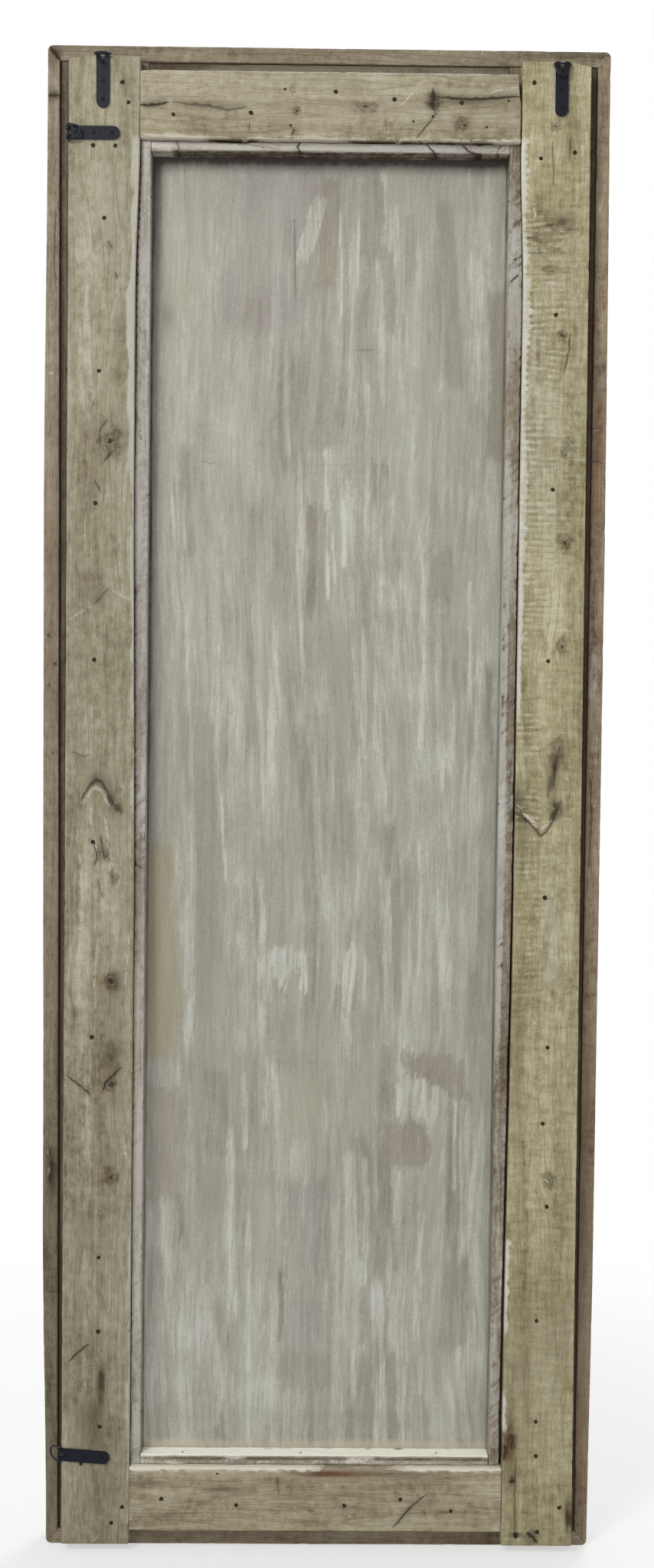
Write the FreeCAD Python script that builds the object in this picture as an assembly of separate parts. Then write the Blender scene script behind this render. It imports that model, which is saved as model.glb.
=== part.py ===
import FreeCAD, Part
import math
import os

from FreeCAD import Placement, Rotation, Vector

os.makedirs("parts", exist_ok=True)

# A full-length wall mirror in a rustic timber frame, with its pieces named as seen from behind.
# X runs to the left as seen from behind, Y towards the back and Z up. Lengths are millimetres.
# The origin is the middle of the bottom edge, at half the depth of the edge band.

# Overall size
OVERALL_WIDTH = 700.0
OVERALL_HEIGHT = 1900.0

# Edge band: four mitred strips set on edge round the outside
EDGE_SIDE_WIDTH = 17.0
EDGE_END_WIDTH = 21.0
EDGE_DEPTH = 34.0
EDGE_CORNER_RADIUS = 9.0
EDGE_ARRIS_RADIUS = 2.5

# Face boards: the front stiles and rails, rebated for the glass and tenoned together
FACE_THICKNESS = 28.0
FACE_BACK_CHAMFER = 2.0
LIP_WIDTH = 19.0
LIP_THICKNESS = 9.5
SIGHT_CHAMFER = 4.0
REBATE_CLEARANCE = 2.5
TENON_LENGTH = 60.0
TENON_THICKNESS = 9.0
TENON_SHOULDER = 12.0
MORTISE_CLEARANCE = 1.0

# Glass and the panel behind it, both loose in the rebate
GLASS_THICKNESS = 4.0
PANEL_THICKNESS = 6.0
PANE_CLEARANCE = 1.5

# Back boards: reveal is the strip of face board left showing between a stile and the edge band
BACK_THICKNESS = 19.0
STILE_FOOT_HEIGHT = 10.0
LEFT_REVEAL_TOP = 12.5
LEFT_REVEAL_FOOT = 6.0
LEFT_STILE_WIDTH_TOP = 88.0
LEFT_STILE_WIDTH_FOOT = 86.5
LEFT_CLIP_WIDTH = 22.0
LEFT_CLIP_HEIGHT = 3.5
RIGHT_REVEAL_TOP = 10.5
RIGHT_REVEAL_FOOT = 6.0
RIGHT_STILE_WIDTH_TOP = 85.0
RIGHT_STILE_WIDTH_FOOT = 91.0
RIGHT_CLIP_WIDTH = 28.0
RIGHT_CLIP_HEIGHT = 6.0
TOP_RAIL_WIDTH = 83.0
TOP_RAIL_DROP = 16.0
BOTTOM_RAIL_WIDTH = 83.0
BOTTOM_RAIL_FOOT_HEIGHT = 28.0

# Beads that hold the panel and the glass: set is how far they lie below the back boards
BEAD_WIDTH = 13.5
BEAD_SET = 7.0
RIGHT_BEAD_GAP_FOOT = 3.0

# Strap hangers: a strip folded double round the ring's bar
STRIP_THICKNESS = 1.0
STRAP_WIDTH = 16.0
STRAP_LENGTH = 64.0
STRAP_TAPER_LENGTH = 4.0
NOTCH_WIDTH = 6.0
NOTCH_REACH = 4.2

# Rings of the hangers
RING_WIRE_RADIUS = 1.1
RING_CLEARANCE = 0.08
RING_SIDE_CLEARANCE = 0.2
RING_BEND_RADIUS = 1.8
RING_BOW_RADIUS = 7.5
RING_REACH = 17.0

# Screws of the hangers
SCREW_COUNT = 3
SCREW_FIRST = 9.5
SCREW_PITCH = 22.5
SCREW_HEAD_RADIUS = 3.0
SCREW_HEAD_DEPTH = 1.6
SCREW_DOME_HEIGHT = 0.5
SCREW_SHANK_RADIUS = 1.6
SCREW_LENGTH = 16.0
SCREW_SLOT_WIDTH = 0.8
SCREW_SLOT_LENGTH = 3.6
SCREW_SLOT_DEPTH = 0.9

# Where each hanger's eye lies beyond, or inside, the edge of its stile, and how its ring lies.
# A ring angle of 0 folds it flat along its strap and 180 turns it straight away from the strap.
TOP_LEFT_OVERHANG = 1.1
TOP_LEFT_ACROSS_SHARE = 0.48
TOP_LEFT_RING_ANGLE = 74.0
TOP_RIGHT_INSET = 3.0
TOP_RIGHT_ACROSS_SHARE = 0.43
TOP_RIGHT_RING_ANGLE = 17.0
SIDE_UPPER_OVERHANG = 0.6
SIDE_UPPER_HEIGHT_SHARE = 0.95
SIDE_UPPER_RING_ANGLE = 17.0
SIDE_LOWER_OVERHANG = 2.2
SIDE_LOWER_HEIGHT_SHARE = 0.063
SIDE_LOWER_TILT_ANGLE = 4.5
SIDE_LOWER_RING_ANGLE = 220.0

# All round room for every nail and screw in its hole
FASTENER_CLEARANCE = 0.05

# Nails, brads and pins: set is how far a head is driven below the surface
NAIL_SET = 0.4
NAIL_HEAD_RADIUS = 2.4
NAIL_HEAD_THICKNESS = 1.2
NAIL_SHANK_RADIUS = 1.3
NAIL_LENGTH = 40.0
BRAD_HEAD_RADIUS = 1.3
BRAD_HEAD_THICKNESS = 1.0
BRAD_SHANK_RADIUS = 0.8
BRAD_LENGTH = 38.0
PIN_HEAD_RADIUS = 1.0
PIN_HEAD_THICKNESS = 0.9
PIN_SHANK_RADIUS = 0.7
PIN_LENGTH = 30.0
PIN_BOARD_SHARE = 0.3
EDGE_BRAD_DEPTH_SHARE = 0.55

# Nails in the back stiles: share of the height from the foot, share of the width from outside
LEFT_NAIL_SHARES = (
    (0.983, 0.75), (0.970, 0.84), (0.942, 0.35), (0.942, 0.66), (0.895, 0.51), (0.795, 0.45),
    (0.708, 0.41), (0.604, 0.41), (0.482, 0.41), (0.350, 0.41), (0.199, 0.53), (0.148, 0.53),
    (0.082, 0.56), (0.056, 0.29), (0.026, 0.90), (0.015, 0.74),
)
RIGHT_NAIL_SHARES = (
    (0.986, 0.83), (0.937, 0.72), (0.941, 0.23), (0.835, 0.47), (0.720, 0.48), (0.606, 0.51),
    (0.447, 0.51), (0.345, 0.44), (0.293, 0.49), (0.236, 0.42), (0.157, 0.54), (0.087, 0.53),
    (0.063, 0.52), (0.027, 0.18), (0.010, 0.49), (0.007, 0.79),
)

# Nails and brads in the back rails: share of the length from the left, share of the width upwards
TOP_NAIL_SHARES = ((0.087, 0.35), (0.290, 0.39), (0.511, 0.71), (0.665, 0.61), (0.841, 0.57))
TOP_BRAD_SHARES = (
    (0.378, 0.74), (0.394, 0.21), (0.715, 0.29), (0.766, 0.37), (0.908, 0.22), (0.964, 0.61),
)
BOTTOM_NAIL_SHARES = ((0.087, 0.50), (0.288, 0.41), (0.578, 0.41), (0.729, 0.51), (0.864, 0.33))
BOTTOM_BRAD_SHARES = ((0.236, 0.90),)

# Pins along the beads and brads along the edge band, as shares of the length
BEAD_SIDE_PIN_SHARES = (0.04, 0.28, 0.51, 0.74, 0.96)
BEAD_END_PIN_SHARES = (0.12, 0.46, 0.85)
EDGE_SIDE_BRAD_SHARES = (0.04, 0.22, 0.41, 0.59, 0.78, 0.96)
EDGE_END_BRAD_SHARES = (0.1, 0.37, 0.63, 0.9)

# Extra length of a cutting tool beyond the surface that it cuts through
OVERRUN = 1.0

# Directions
LEFT = Vector(1, 0, 0)
BACK = Vector(0, 1, 0)
UP = Vector(0, 0, 1)
SIDE_SIGNS = {"left": 1, "right": -1}

# Levels along Y, from the front to the back
edge_front = -EDGE_DEPTH / 2
edge_back = EDGE_DEPTH / 2
face_back = edge_back
face_front = face_back - FACE_THICKNESS
glass_front = face_front + LIP_THICKNESS
panel_front = glass_front + GLASS_THICKNESS
panel_back = panel_front + PANEL_THICKNESS
boards_back = face_back + BACK_THICKNESS
bead_back = boards_back - BEAD_SET

# Face boards in plan: half width, foot and top inside the edge band
face_half = OVERALL_WIDTH / 2 - EDGE_SIDE_WIDTH
face_low = EDGE_END_WIDTH
face_high = OVERALL_HEIGHT - EDGE_END_WIDTH

# Back boards in plan
stile_low = STILE_FOOT_HEIGHT
stile_high = face_high
top_rail_high = stile_high - TOP_RAIL_DROP
top_rail_low = top_rail_high - TOP_RAIL_WIDTH
bottom_rail_low = BOTTOM_RAIL_FOOT_HEIGHT
bottom_rail_high = bottom_rail_low + BOTTOM_RAIL_WIDTH
REVEALS = {
    "left": (LEFT_REVEAL_FOOT, LEFT_REVEAL_TOP),
    "right": (RIGHT_REVEAL_FOOT, RIGHT_REVEAL_TOP),
}
STILE_WIDTHS = {
    "left": (LEFT_STILE_WIDTH_FOOT, LEFT_STILE_WIDTH_TOP),
    "right": (RIGHT_STILE_WIDTH_FOOT, RIGHT_STILE_WIDTH_TOP),
}
STILE_CLIPS = {
    "left": (LEFT_CLIP_WIDTH, LEFT_CLIP_HEIGHT),
    "right": (RIGHT_CLIP_WIDTH, RIGHT_CLIP_HEIGHT),
}
BEAD_GAPS_FOOT = {"left": 0, "right": RIGHT_BEAD_GAP_FOOT}


def between(pair, share):
    """The value at a share of the way from the first of a pair to the second."""
    return pair[0] + (pair[1] - pair[0]) * share


def stile_outer(side, z):
    """Distance from the centre line to a back stile's outer edge at height z."""
    share = (z - stile_low) / (stile_high - stile_low)
    return face_half - between(REVEALS[side], share)


def stile_inner(side, z):
    """Distance from the centre line to a back stile's inner edge at height z."""
    share = (z - stile_low) / (stile_high - stile_low)
    return stile_outer(side, z) - between(STILE_WIDTHS[side], share)


def bead_outer(side, z):
    """Distance from the centre line to a side bead's outer face at height z."""
    share = (z - bottom_rail_high) / (top_rail_low - bottom_rail_high)
    return stile_inner(side, z) - between((BEAD_GAPS_FOOT[side], 0), share)


# Rebate and sight opening of the face boards, clear of every bead
bead_reach = max(bead_outer(side, z) for side in SIDE_SIGNS for z in (bottom_rail_high, top_rail_low))
rebate_half = bead_reach + REBATE_CLEARANCE
rebate_low = bottom_rail_high - REBATE_CLEARANCE
rebate_high = top_rail_low + REBATE_CLEARANCE
sight_half = rebate_half - LIP_WIDTH
sight_low = rebate_low + LIP_WIDTH
sight_high = rebate_high - LIP_WIDTH

# Strap hanger sizes that follow from the strip and the wire
eye_bore_radius = RING_WIRE_RADIUS + RING_CLEARANCE
eye_radius = eye_bore_radius + STRIP_THICKNESS
eye_height = eye_radius
plate_thickness = 2 * STRIP_THICKNESS
ring_bar_half = STRAP_WIDTH / 2 + RING_SIDE_CLEARANCE


# Shapes and places that several pieces share


def block(x_pair, y_pair, z_pair):
    """A box between pairs of low and high values along X, Y and Z."""
    corner = Vector(x_pair[0], y_pair[0], z_pair[0])
    return Part.makeBox(x_pair[1] - x_pair[0], y_pair[1] - y_pair[0], z_pair[1] - z_pair[0], corner)


def prism(outline, y_low, y_high):
    """A solid with an outline of (x, z) points, between two levels along Y."""
    corners = [Vector(x, y_low, z) for x, z in outline]
    face = Part.Face(Part.makePolygon(corners + corners[:1]))
    return face.extrude(BACK * (y_high - y_low))


def revolved(profile):
    """A solid of revolution about local Z with a profile of (radius, height) points."""
    corners = [Vector(radius, 0, height) for radius, height in profile]
    face = Part.Face(Part.makePolygon(corners + corners[:1]))
    return face.revolve(Vector(), UP, 360)


def placed(shape, point, outward):
    """A copy of a shape with its local Z turned outward and its origin at a point."""
    copy = shape.copy()
    copy.Placement = Placement(point, Rotation(UP, outward))
    return copy


def drilled(board, holes):
    """A board with every hole that reaches it cut out."""
    return board.cut([hole for hole in holes if hole.BoundBox.intersect(board.BoundBox)])


# Nails, brads and pins


NAIL_SIZES = {
    "nail": (NAIL_HEAD_RADIUS, NAIL_HEAD_THICKNESS, NAIL_SHANK_RADIUS, NAIL_LENGTH),
    "brad": (BRAD_HEAD_RADIUS, BRAD_HEAD_THICKNESS, BRAD_SHANK_RADIUS, BRAD_LENGTH),
    "pin": (PIN_HEAD_RADIUS, PIN_HEAD_THICKNESS, PIN_SHANK_RADIUS, PIN_LENGTH),
}


def nail_form(kind, extra, top):
    """A nail along local Z, grown by extra all round, with the top of its head at a height."""
    head_radius, head_thickness, shank_radius, length = NAIL_SIZES[kind]
    point_height = 2 * shank_radius - length
    return revolved([
        (0, top),
        (head_radius + extra, top),
        (head_radius + extra, -head_thickness - extra),
        (shank_radius + extra, -head_thickness - extra),
        (shank_radius + extra, point_height),
        (0, -length - extra),
    ])


def driven(kind, places):
    """The nails of one kind, driven in at (point, outward) places, and the holes that hold them."""
    nail = nail_form(kind, 0, 0)
    hole = nail_form(kind, FASTENER_CLEARANCE, NAIL_SET + OVERRUN)
    seats = [(point - outward * NAIL_SET, outward) for point, outward in places]
    nails = [placed(nail, point, outward) for point, outward in seats]
    holes = [placed(hole, point, outward) for point, outward in seats]
    return nails, holes


def stile_places(side, shares):
    """Nail places on the back face of a stile."""
    places = []
    for height_share, width_share in shares:
        z = between((stile_low, stile_high), height_share)
        x = SIDE_SIGNS[side] * between((stile_outer(side, z), stile_inner(side, z)), width_share)
        places.append((Vector(x, boards_back, z), BACK))
    return places


def rail_places(low, high, shares):
    """Nail places on the back face of a rail."""
    places = []
    for length_share, width_share in shares:
        z = between((low, high), width_share)
        x = between((stile_inner("left", z), -stile_inner("right", z)), length_share)
        places.append((Vector(x, boards_back, z), BACK))
    return places


def bead_places():
    """Pin places on the faces of the beads that look into the opening."""
    y = between((face_back, boards_back), PIN_BOARD_SHARE)
    places = []
    for side, sign in SIDE_SIGNS.items():
        for share in BEAD_SIDE_PIN_SHARES:
            z = between((bottom_rail_high, top_rail_low), share)
            places.append((Vector(sign * (bead_outer(side, z) - BEAD_WIDTH), y, z), LEFT * -sign))
    for z, outward in ((bottom_rail_high + BEAD_WIDTH, UP), (top_rail_low - BEAD_WIDTH, UP * -1)):
        ends = (bead_outer("left", z) - BEAD_WIDTH, BEAD_WIDTH - bead_outer("right", z))
        places += [(Vector(between(ends, share), y, z), outward) for share in BEAD_END_PIN_SHARES]
    return places


def edge_places():
    """Brad places on the outside of the edge band."""
    y = between((face_front, face_back), EDGE_BRAD_DEPTH_SHARE)
    half = OVERALL_WIDTH / 2
    places = []
    for sign in SIDE_SIGNS.values():
        for share in EDGE_SIDE_BRAD_SHARES:
            places.append((Vector(sign * half, y, OVERALL_HEIGHT * share), LEFT * sign))
    for z, outward in ((0, UP * -1), (OVERALL_HEIGHT, UP)):
        for share in EDGE_END_BRAD_SHARES:
            places.append((Vector(between((half, -half), share), y, z), outward))
    return places


# Timber pieces


def edge_bands():
    """The four strips of the edge band, cut from one rounded ring along their mitres."""
    half = OVERALL_WIDTH / 2
    ring = block((-half, half), (edge_front, edge_back), (0, OVERALL_HEIGHT))
    corners = [edge for edge in ring.Edges if abs(edge.tangentAt(edge.FirstParameter).y) == 1]
    ring = ring.makeFillet(EDGE_CORNER_RADIUS, corners)
    arrises = [edge for edge in ring.Edges if edge.BoundBox.YLength < OVERRUN]
    ring = ring.makeFillet(EDGE_ARRIS_RADIUS, arrises)
    hollow = block((-face_half, face_half), (edge_front - OVERRUN, edge_back + OVERRUN), (face_low, face_high))
    ring = ring.cut(hollow)
    outer = {
        "bottom_right": (-half, 0),
        "bottom_left": (half, 0),
        "top_left": (half, OVERALL_HEIGHT),
        "top_right": (-half, OVERALL_HEIGHT),
    }
    inner = {
        "bottom_right": (-face_half, face_low),
        "bottom_left": (face_half, face_low),
        "top_left": (face_half, face_high),
        "top_right": (-face_half, face_high),
    }
    strips = {}
    for name, first, second in (
        ("top", "top_left", "top_right"),
        ("bottom", "bottom_right", "bottom_left"),
        ("left", "bottom_left", "top_left"),
        ("right", "top_right", "bottom_right"),
    ):
        outline = [outer[first], outer[second], inner[second], inner[first]]
        strips["edge_band_" + name] = ring.common(prism(outline, edge_front, edge_back))
    return strips


def tenon(z_pair, sign, extra):
    """A face rail's tenon towards one side, lengthened by extra for its mortise."""
    middle = (face_front + face_back) / 2
    y_pair = (middle - TENON_THICKNESS / 2, middle + TENON_THICKNESS / 2)
    reach = sight_half + TENON_LENGTH + extra
    x_pair = (sight_half, reach) if sign > 0 else (-reach, -sight_half)
    return block(x_pair, y_pair, (z_pair[0] + TENON_SHOULDER, z_pair[1] - TENON_SHOULDER))


def face_boards():
    """The front stiles and rails: rebated for the glass, chamfered and tenoned together."""
    full = block((-face_half, face_half), (face_front, face_back), (face_low, face_high))
    back_arrises = [edge for edge in full.Edges if edge.BoundBox.YMin > face_back - OVERRUN]
    full = full.makeChamfer(FACE_BACK_CHAMFER, back_arrises)
    rebate = block(
        (-rebate_half, rebate_half), (glass_front, face_back + OVERRUN), (rebate_low, rebate_high)
    )
    sight = block(
        (-sight_half, sight_half), (face_front - OVERRUN, face_back), (sight_low, sight_high)
    )
    flare = SIGHT_CHAMFER + OVERRUN
    chamfer = Part.makeWedge(
        -sight_half - flare, face_front - OVERRUN, sight_low - flare, sight_low, -sight_half,
        sight_half + flare, face_front + SIGHT_CHAMFER, sight_high + flare, sight_high, sight_half,
    )
    frame = full.cut([rebate, sight, chamfer])
    tenon_spans = {"top": (rebate_high, face_high), "bottom": (face_low, rebate_low)}
    rail_spans = {"top": (sight_high, face_high), "bottom": (face_low, sight_low)}
    boards = {}
    for name, z_pair in rail_spans.items():
        rail = frame.common(block((-sight_half, sight_half), (face_front, face_back), z_pair))
        tenons = [tenon(tenon_spans[name], sign, 0) for sign in SIDE_SIGNS.values()]
        boards["face_rail_" + name] = rail.fuse(tenons).removeSplitter()
    for side, sign in SIDE_SIGNS.items():
        x_pair = (sight_half, face_half) if sign > 0 else (-face_half, -sight_half)
        stile = frame.common(block(x_pair, (face_front, face_back), (face_low, face_high)))
        mortises = [tenon(span, sign, MORTISE_CLEARANCE) for span in tenon_spans.values()]
        boards["face_stile_" + side] = stile.cut(mortises)
    return boards


def panes():
    """The mirror glass and the backing panel, standing on the floor of the rebate."""
    x_pair = (PANE_CLEARANCE - rebate_half, rebate_half - PANE_CLEARANCE)
    z_pair = (rebate_low, rebate_high - 2 * PANE_CLEARANCE)
    return {
        "mirror_glass": block(x_pair, (glass_front, panel_front), z_pair),
        "backing_panel": block(x_pair, (panel_front, panel_back), z_pair),
    }


def back_boards():
    """The back stiles, each with its worn top corner, and the rails butted between them."""
    boards = {}
    for side, sign in SIDE_SIGNS.items():
        clip_width, clip_height = STILE_CLIPS[side]
        outline = [
            (stile_outer(side, stile_low), stile_low),
            (stile_inner(side, stile_low), stile_low),
            (stile_inner(side, stile_high), stile_high),
            (stile_outer(side, stile_high) - clip_width, stile_high),
            (stile_outer(side, stile_high - clip_height), stile_high - clip_height),
        ]
        outline = [(sign * x, z) for x, z in outline]
        boards["back_stile_" + side] = prism(outline, face_back, boards_back)
    for name, low, high in (
        ("top", top_rail_low, top_rail_high),
        ("bottom", bottom_rail_low, bottom_rail_high),
    ):
        outline = [
            (stile_inner("left", low), low),
            (-stile_inner("right", low), low),
            (-stile_inner("right", high), high),
            (stile_inner("left", high), high),
        ]
        boards["back_rail_" + name] = prism(outline, face_back, boards_back)
    return boards


def beads():
    """The side beads from rail to rail, and the end beads fitted between them."""
    low, high = bottom_rail_high, top_rail_low
    strips = {}
    for side, sign in SIDE_SIGNS.items():
        outline = [
            (sign * bead_outer(side, low), low),
            (sign * (bead_outer(side, low) - BEAD_WIDTH), low),
            (sign * (bead_outer(side, high) - BEAD_WIDTH), high),
            (sign * bead_outer(side, high), high),
        ]
        strips["bead_" + side] = prism(outline, panel_back, bead_back)
    for name, z_pair in (("top", (high - BEAD_WIDTH, high)), ("bottom", (low, low + BEAD_WIDTH))):
        lefts = [(bead_outer("left", z) - BEAD_WIDTH, z) for z in z_pair]
        rights = [(BEAD_WIDTH - bead_outer("right", z), z) for z in reversed(z_pair)]
        strips["bead_" + name] = prism(lefts + rights, panel_back, bead_back)
    return strips


# Strap hangers, in a local frame: X along the strap from the eye, Z out of the wood


def screw_profile(extra):
    """Profile of a screw from the rim of its head down, grown by extra."""
    return [
        (SCREW_HEAD_RADIUS + extra, 0),
        (SCREW_SHANK_RADIUS + extra, -SCREW_HEAD_DEPTH),
        (SCREW_SHANK_RADIUS + extra, 2 * SCREW_SHANK_RADIUS - SCREW_LENGTH),
        (0, -SCREW_LENGTH - extra),
    ]


def screw():
    """A countersunk screw with a crossed slot, the rim of its head at the origin."""
    body = revolved([(0, SCREW_DOME_HEIGHT)] + screw_profile(0))
    long_half, wide_half = SCREW_SLOT_LENGTH / 2, SCREW_SLOT_WIDTH / 2
    z_pair = (SCREW_DOME_HEIGHT - SCREW_SLOT_DEPTH, SCREW_DOME_HEIGHT + OVERRUN)
    slots = [
        block((-long_half, long_half), (-wide_half, wide_half), z_pair),
        block((-wide_half, wide_half), (-long_half, long_half), z_pair),
    ]
    return body.cut(slots)


def screw_hole():
    """The hole of a screw, open above the rim of its head."""
    mouth_radius = SCREW_HEAD_RADIUS + FASTENER_CLEARANCE
    return revolved([(0, OVERRUN), (mouth_radius, OVERRUN)] + screw_profile(FASTENER_CLEARANCE))


def along_strap(shape):
    """Copies of a shape at the screw places of a strap."""
    copies = []
    for index in range(SCREW_COUNT):
        point = Vector(SCREW_FIRST + index * SCREW_PITCH, 0, plate_thickness)
        copies.append(placed(shape, point, UP))
    return copies


def strap():
    """The strap: an eye that runs into a double plate with a round end, a notch and screw holes."""
    half = STRAP_WIDTH / 2
    straight = STRAP_LENGTH - half
    rise = plate_thickness - eye_height
    turn = math.atan2(rise, STRAP_TAPER_LENGTH)
    turn += math.acos(eye_radius / math.hypot(STRAP_TAPER_LENGTH, rise))
    plate = prism([
        (0, 0),
        (straight, 0),
        (straight, plate_thickness),
        (STRAP_TAPER_LENGTH, plate_thickness),
        (eye_radius * math.cos(turn), eye_height + eye_radius * math.sin(turn)),
        (0, eye_height),
    ], -half, half)
    eye = Part.makeCylinder(eye_radius, STRAP_WIDTH, Vector(0, -half, eye_height), BACK)
    end = Part.makeCylinder(half, plate_thickness, Vector(straight, 0, 0))
    bore_start = Vector(0, -half - OVERRUN, eye_height)
    bore = Part.makeCylinder(eye_bore_radius, STRAP_WIDTH + 2 * OVERRUN, bore_start, BACK)
    notch_half = NOTCH_WIDTH / 2
    notch_centre = NOTCH_REACH - notch_half
    z_pair = (-OVERRUN, 2 * eye_radius + OVERRUN)
    notch = block((-eye_radius - OVERRUN, notch_centre), (-notch_half, notch_half), z_pair)
    notch_end = Part.makeCylinder(notch_half, z_pair[1] - z_pair[0], Vector(notch_centre, 0, z_pair[0]))
    whole = plate.fuse([eye, end]).removeSplitter()
    return whole.cut([bore, notch, notch_end] + along_strap(screw_hole()))


def ring(angle):
    """A wire ring with its bar in the eye, raised by an angle from the strap."""
    bend = Vector(RING_BEND_RADIUS, ring_bar_half, 0)
    bow = Vector(RING_REACH - RING_BOW_RADIUS, 0, 0)
    gap = bow - bend
    turn = math.atan2(gap.y, gap.x)
    turn += math.acos((RING_BEND_RADIUS - RING_BOW_RADIUS) / gap.Length)

    def on_circle(centre, radius, direction):
        return centre + Vector(math.cos(direction), math.sin(direction), 0) * radius

    corner = Vector(0, ring_bar_half, 0)
    leg_start = on_circle(bend, RING_BEND_RADIUS, turn)
    leg_end = on_circle(bow, RING_BOW_RADIUS, turn)
    path = Part.Wire([
        Part.makeLine(Vector(), corner),
        Part.Arc(corner, on_circle(bend, RING_BEND_RADIUS, (math.pi + turn) / 2), leg_start).toShape(),
        Part.makeLine(leg_start, leg_end),
        Part.Arc(leg_end, on_circle(bow, RING_BOW_RADIUS, turn / 2), Vector(RING_REACH, 0, 0)).toShape(),
    ])
    section = Part.Wire(Part.makeCircle(RING_WIRE_RADIUS, Vector(), BACK))
    half = path.makePipeShell([section], True, False)
    whole = half.fuse(half.mirror(Vector(), BACK)).removeSplitter()
    whole.rotate(Vector(), BACK * -1, angle)
    whole.translate(UP * eye_height)
    return whole


def hanger_places():
    """Each hanger's point on the wood under its eye, the way its strap runs and its ring's angle."""
    left_x = between(
        (stile_outer("left", stile_high), stile_inner("left", stile_high)), TOP_LEFT_ACROSS_SHARE
    )
    right_x = -between(
        (stile_outer("right", stile_high), stile_inner("right", stile_high)), TOP_RIGHT_ACROSS_SHARE
    )
    upper_z = between((stile_low, stile_high), SIDE_UPPER_HEIGHT_SHARE)
    lower_z = between((stile_low, stile_high), SIDE_LOWER_HEIGHT_SHARE)
    upper_x = stile_outer("left", upper_z) + SIDE_UPPER_OVERHANG
    lower_x = stile_outer("left", lower_z) + SIDE_LOWER_OVERHANG
    tilt = math.radians(SIDE_LOWER_TILT_ANGLE)
    down = UP * -1
    return {
        "top_left": (
            Vector(left_x, boards_back, stile_high + TOP_LEFT_OVERHANG), down, TOP_LEFT_RING_ANGLE,
        ),
        "top_right": (
            Vector(right_x, boards_back, stile_high - TOP_RIGHT_INSET), down, TOP_RIGHT_RING_ANGLE,
        ),
        "side_upper": (
            Vector(upper_x, boards_back, upper_z), LEFT * -1, SIDE_UPPER_RING_ANGLE,
        ),
        "side_lower": (
            Vector(lower_x, boards_back, lower_z),
            Vector(-math.cos(tilt), 0, -math.sin(tilt)),
            SIDE_LOWER_RING_ANGLE,
        ),
    }


def seated(shape, point, along):
    """A copy of a hanger's piece, moved from the local frame to its place on the wood."""
    copy = shape.copy()
    frame = Placement(point, Rotation(along, BACK.cross(along), BACK, "ZXY"))
    copy.Placement = frame.multiply(copy.Placement)
    return copy


def hangers():
    """The straps and rings, all their screws, and the screws' holes."""
    pieces = {}
    screws = []
    holes = []
    for name, (point, along, angle) in hanger_places().items():
        pieces["hanger_strap_" + name] = seated(strap(), point, along)
        pieces["hanger_ring_" + name] = seated(ring(angle), point, along)
        screws += [seated(shape, point, along) for shape in along_strap(screw())]
        holes += [seated(shape, point, along) for shape in along_strap(screw_hole())]
    pieces["hanger_screws"] = Part.makeCompound(screws)
    return pieces, holes


# The whole part: timber drilled for everything that is driven into it


def build():
    """Every node's shape by its name."""
    timber = {**edge_bands(), **face_boards(), **back_boards(), **beads()}
    nail_places = stile_places("left", LEFT_NAIL_SHARES) + stile_places("right", RIGHT_NAIL_SHARES)
    nail_places += rail_places(top_rail_low, top_rail_high, TOP_NAIL_SHARES)
    nail_places += rail_places(bottom_rail_low, bottom_rail_high, BOTTOM_NAIL_SHARES)
    brad_places = rail_places(top_rail_low, top_rail_high, TOP_BRAD_SHARES)
    brad_places += rail_places(bottom_rail_low, bottom_rail_high, BOTTOM_BRAD_SHARES)
    ironwork, holes = hangers()
    for name, kind, places in (
        ("frame_nails", "nail", nail_places),
        ("rail_brads", "brad", brad_places),
        ("bead_pins", "pin", bead_places()),
        ("edge_brads", "brad", edge_places()),
    ):
        nails, nail_holes = driven(kind, places)
        ironwork[name] = Part.makeCompound(nails)
        holes += nail_holes
    drilled_timber = {name: drilled(board, holes) for name, board in timber.items()}
    return {**drilled_timber, **panes(), **ironwork}


for node, shape in build().items():
    solids = shape.Solids
    model = solids[0] if len(solids) == 1 else Part.makeCompound(solids)
    model.exportStep(os.path.join("parts", node + ".step"))
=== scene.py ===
import math
from functools import cached_property

import bpy
import numpy as np
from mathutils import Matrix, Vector


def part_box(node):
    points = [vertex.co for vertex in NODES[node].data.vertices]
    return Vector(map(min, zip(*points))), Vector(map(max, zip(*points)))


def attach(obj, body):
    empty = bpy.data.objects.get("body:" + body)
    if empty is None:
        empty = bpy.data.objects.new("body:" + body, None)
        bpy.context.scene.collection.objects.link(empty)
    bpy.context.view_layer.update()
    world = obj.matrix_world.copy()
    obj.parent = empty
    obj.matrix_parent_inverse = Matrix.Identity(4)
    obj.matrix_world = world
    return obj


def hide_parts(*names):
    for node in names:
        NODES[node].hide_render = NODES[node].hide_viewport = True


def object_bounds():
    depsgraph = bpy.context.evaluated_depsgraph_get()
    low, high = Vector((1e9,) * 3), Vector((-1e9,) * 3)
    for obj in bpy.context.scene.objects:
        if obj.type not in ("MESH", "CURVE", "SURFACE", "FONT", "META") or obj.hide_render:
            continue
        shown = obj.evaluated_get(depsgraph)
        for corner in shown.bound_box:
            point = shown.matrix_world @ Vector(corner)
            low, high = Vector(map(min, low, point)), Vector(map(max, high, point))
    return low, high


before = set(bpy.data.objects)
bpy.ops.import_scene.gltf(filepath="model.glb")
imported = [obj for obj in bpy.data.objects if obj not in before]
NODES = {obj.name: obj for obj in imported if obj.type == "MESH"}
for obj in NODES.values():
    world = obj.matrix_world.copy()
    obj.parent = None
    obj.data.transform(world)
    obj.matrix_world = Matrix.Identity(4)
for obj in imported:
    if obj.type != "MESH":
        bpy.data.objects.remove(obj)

cad_low, cad_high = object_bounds()
MM = 0.001

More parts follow.
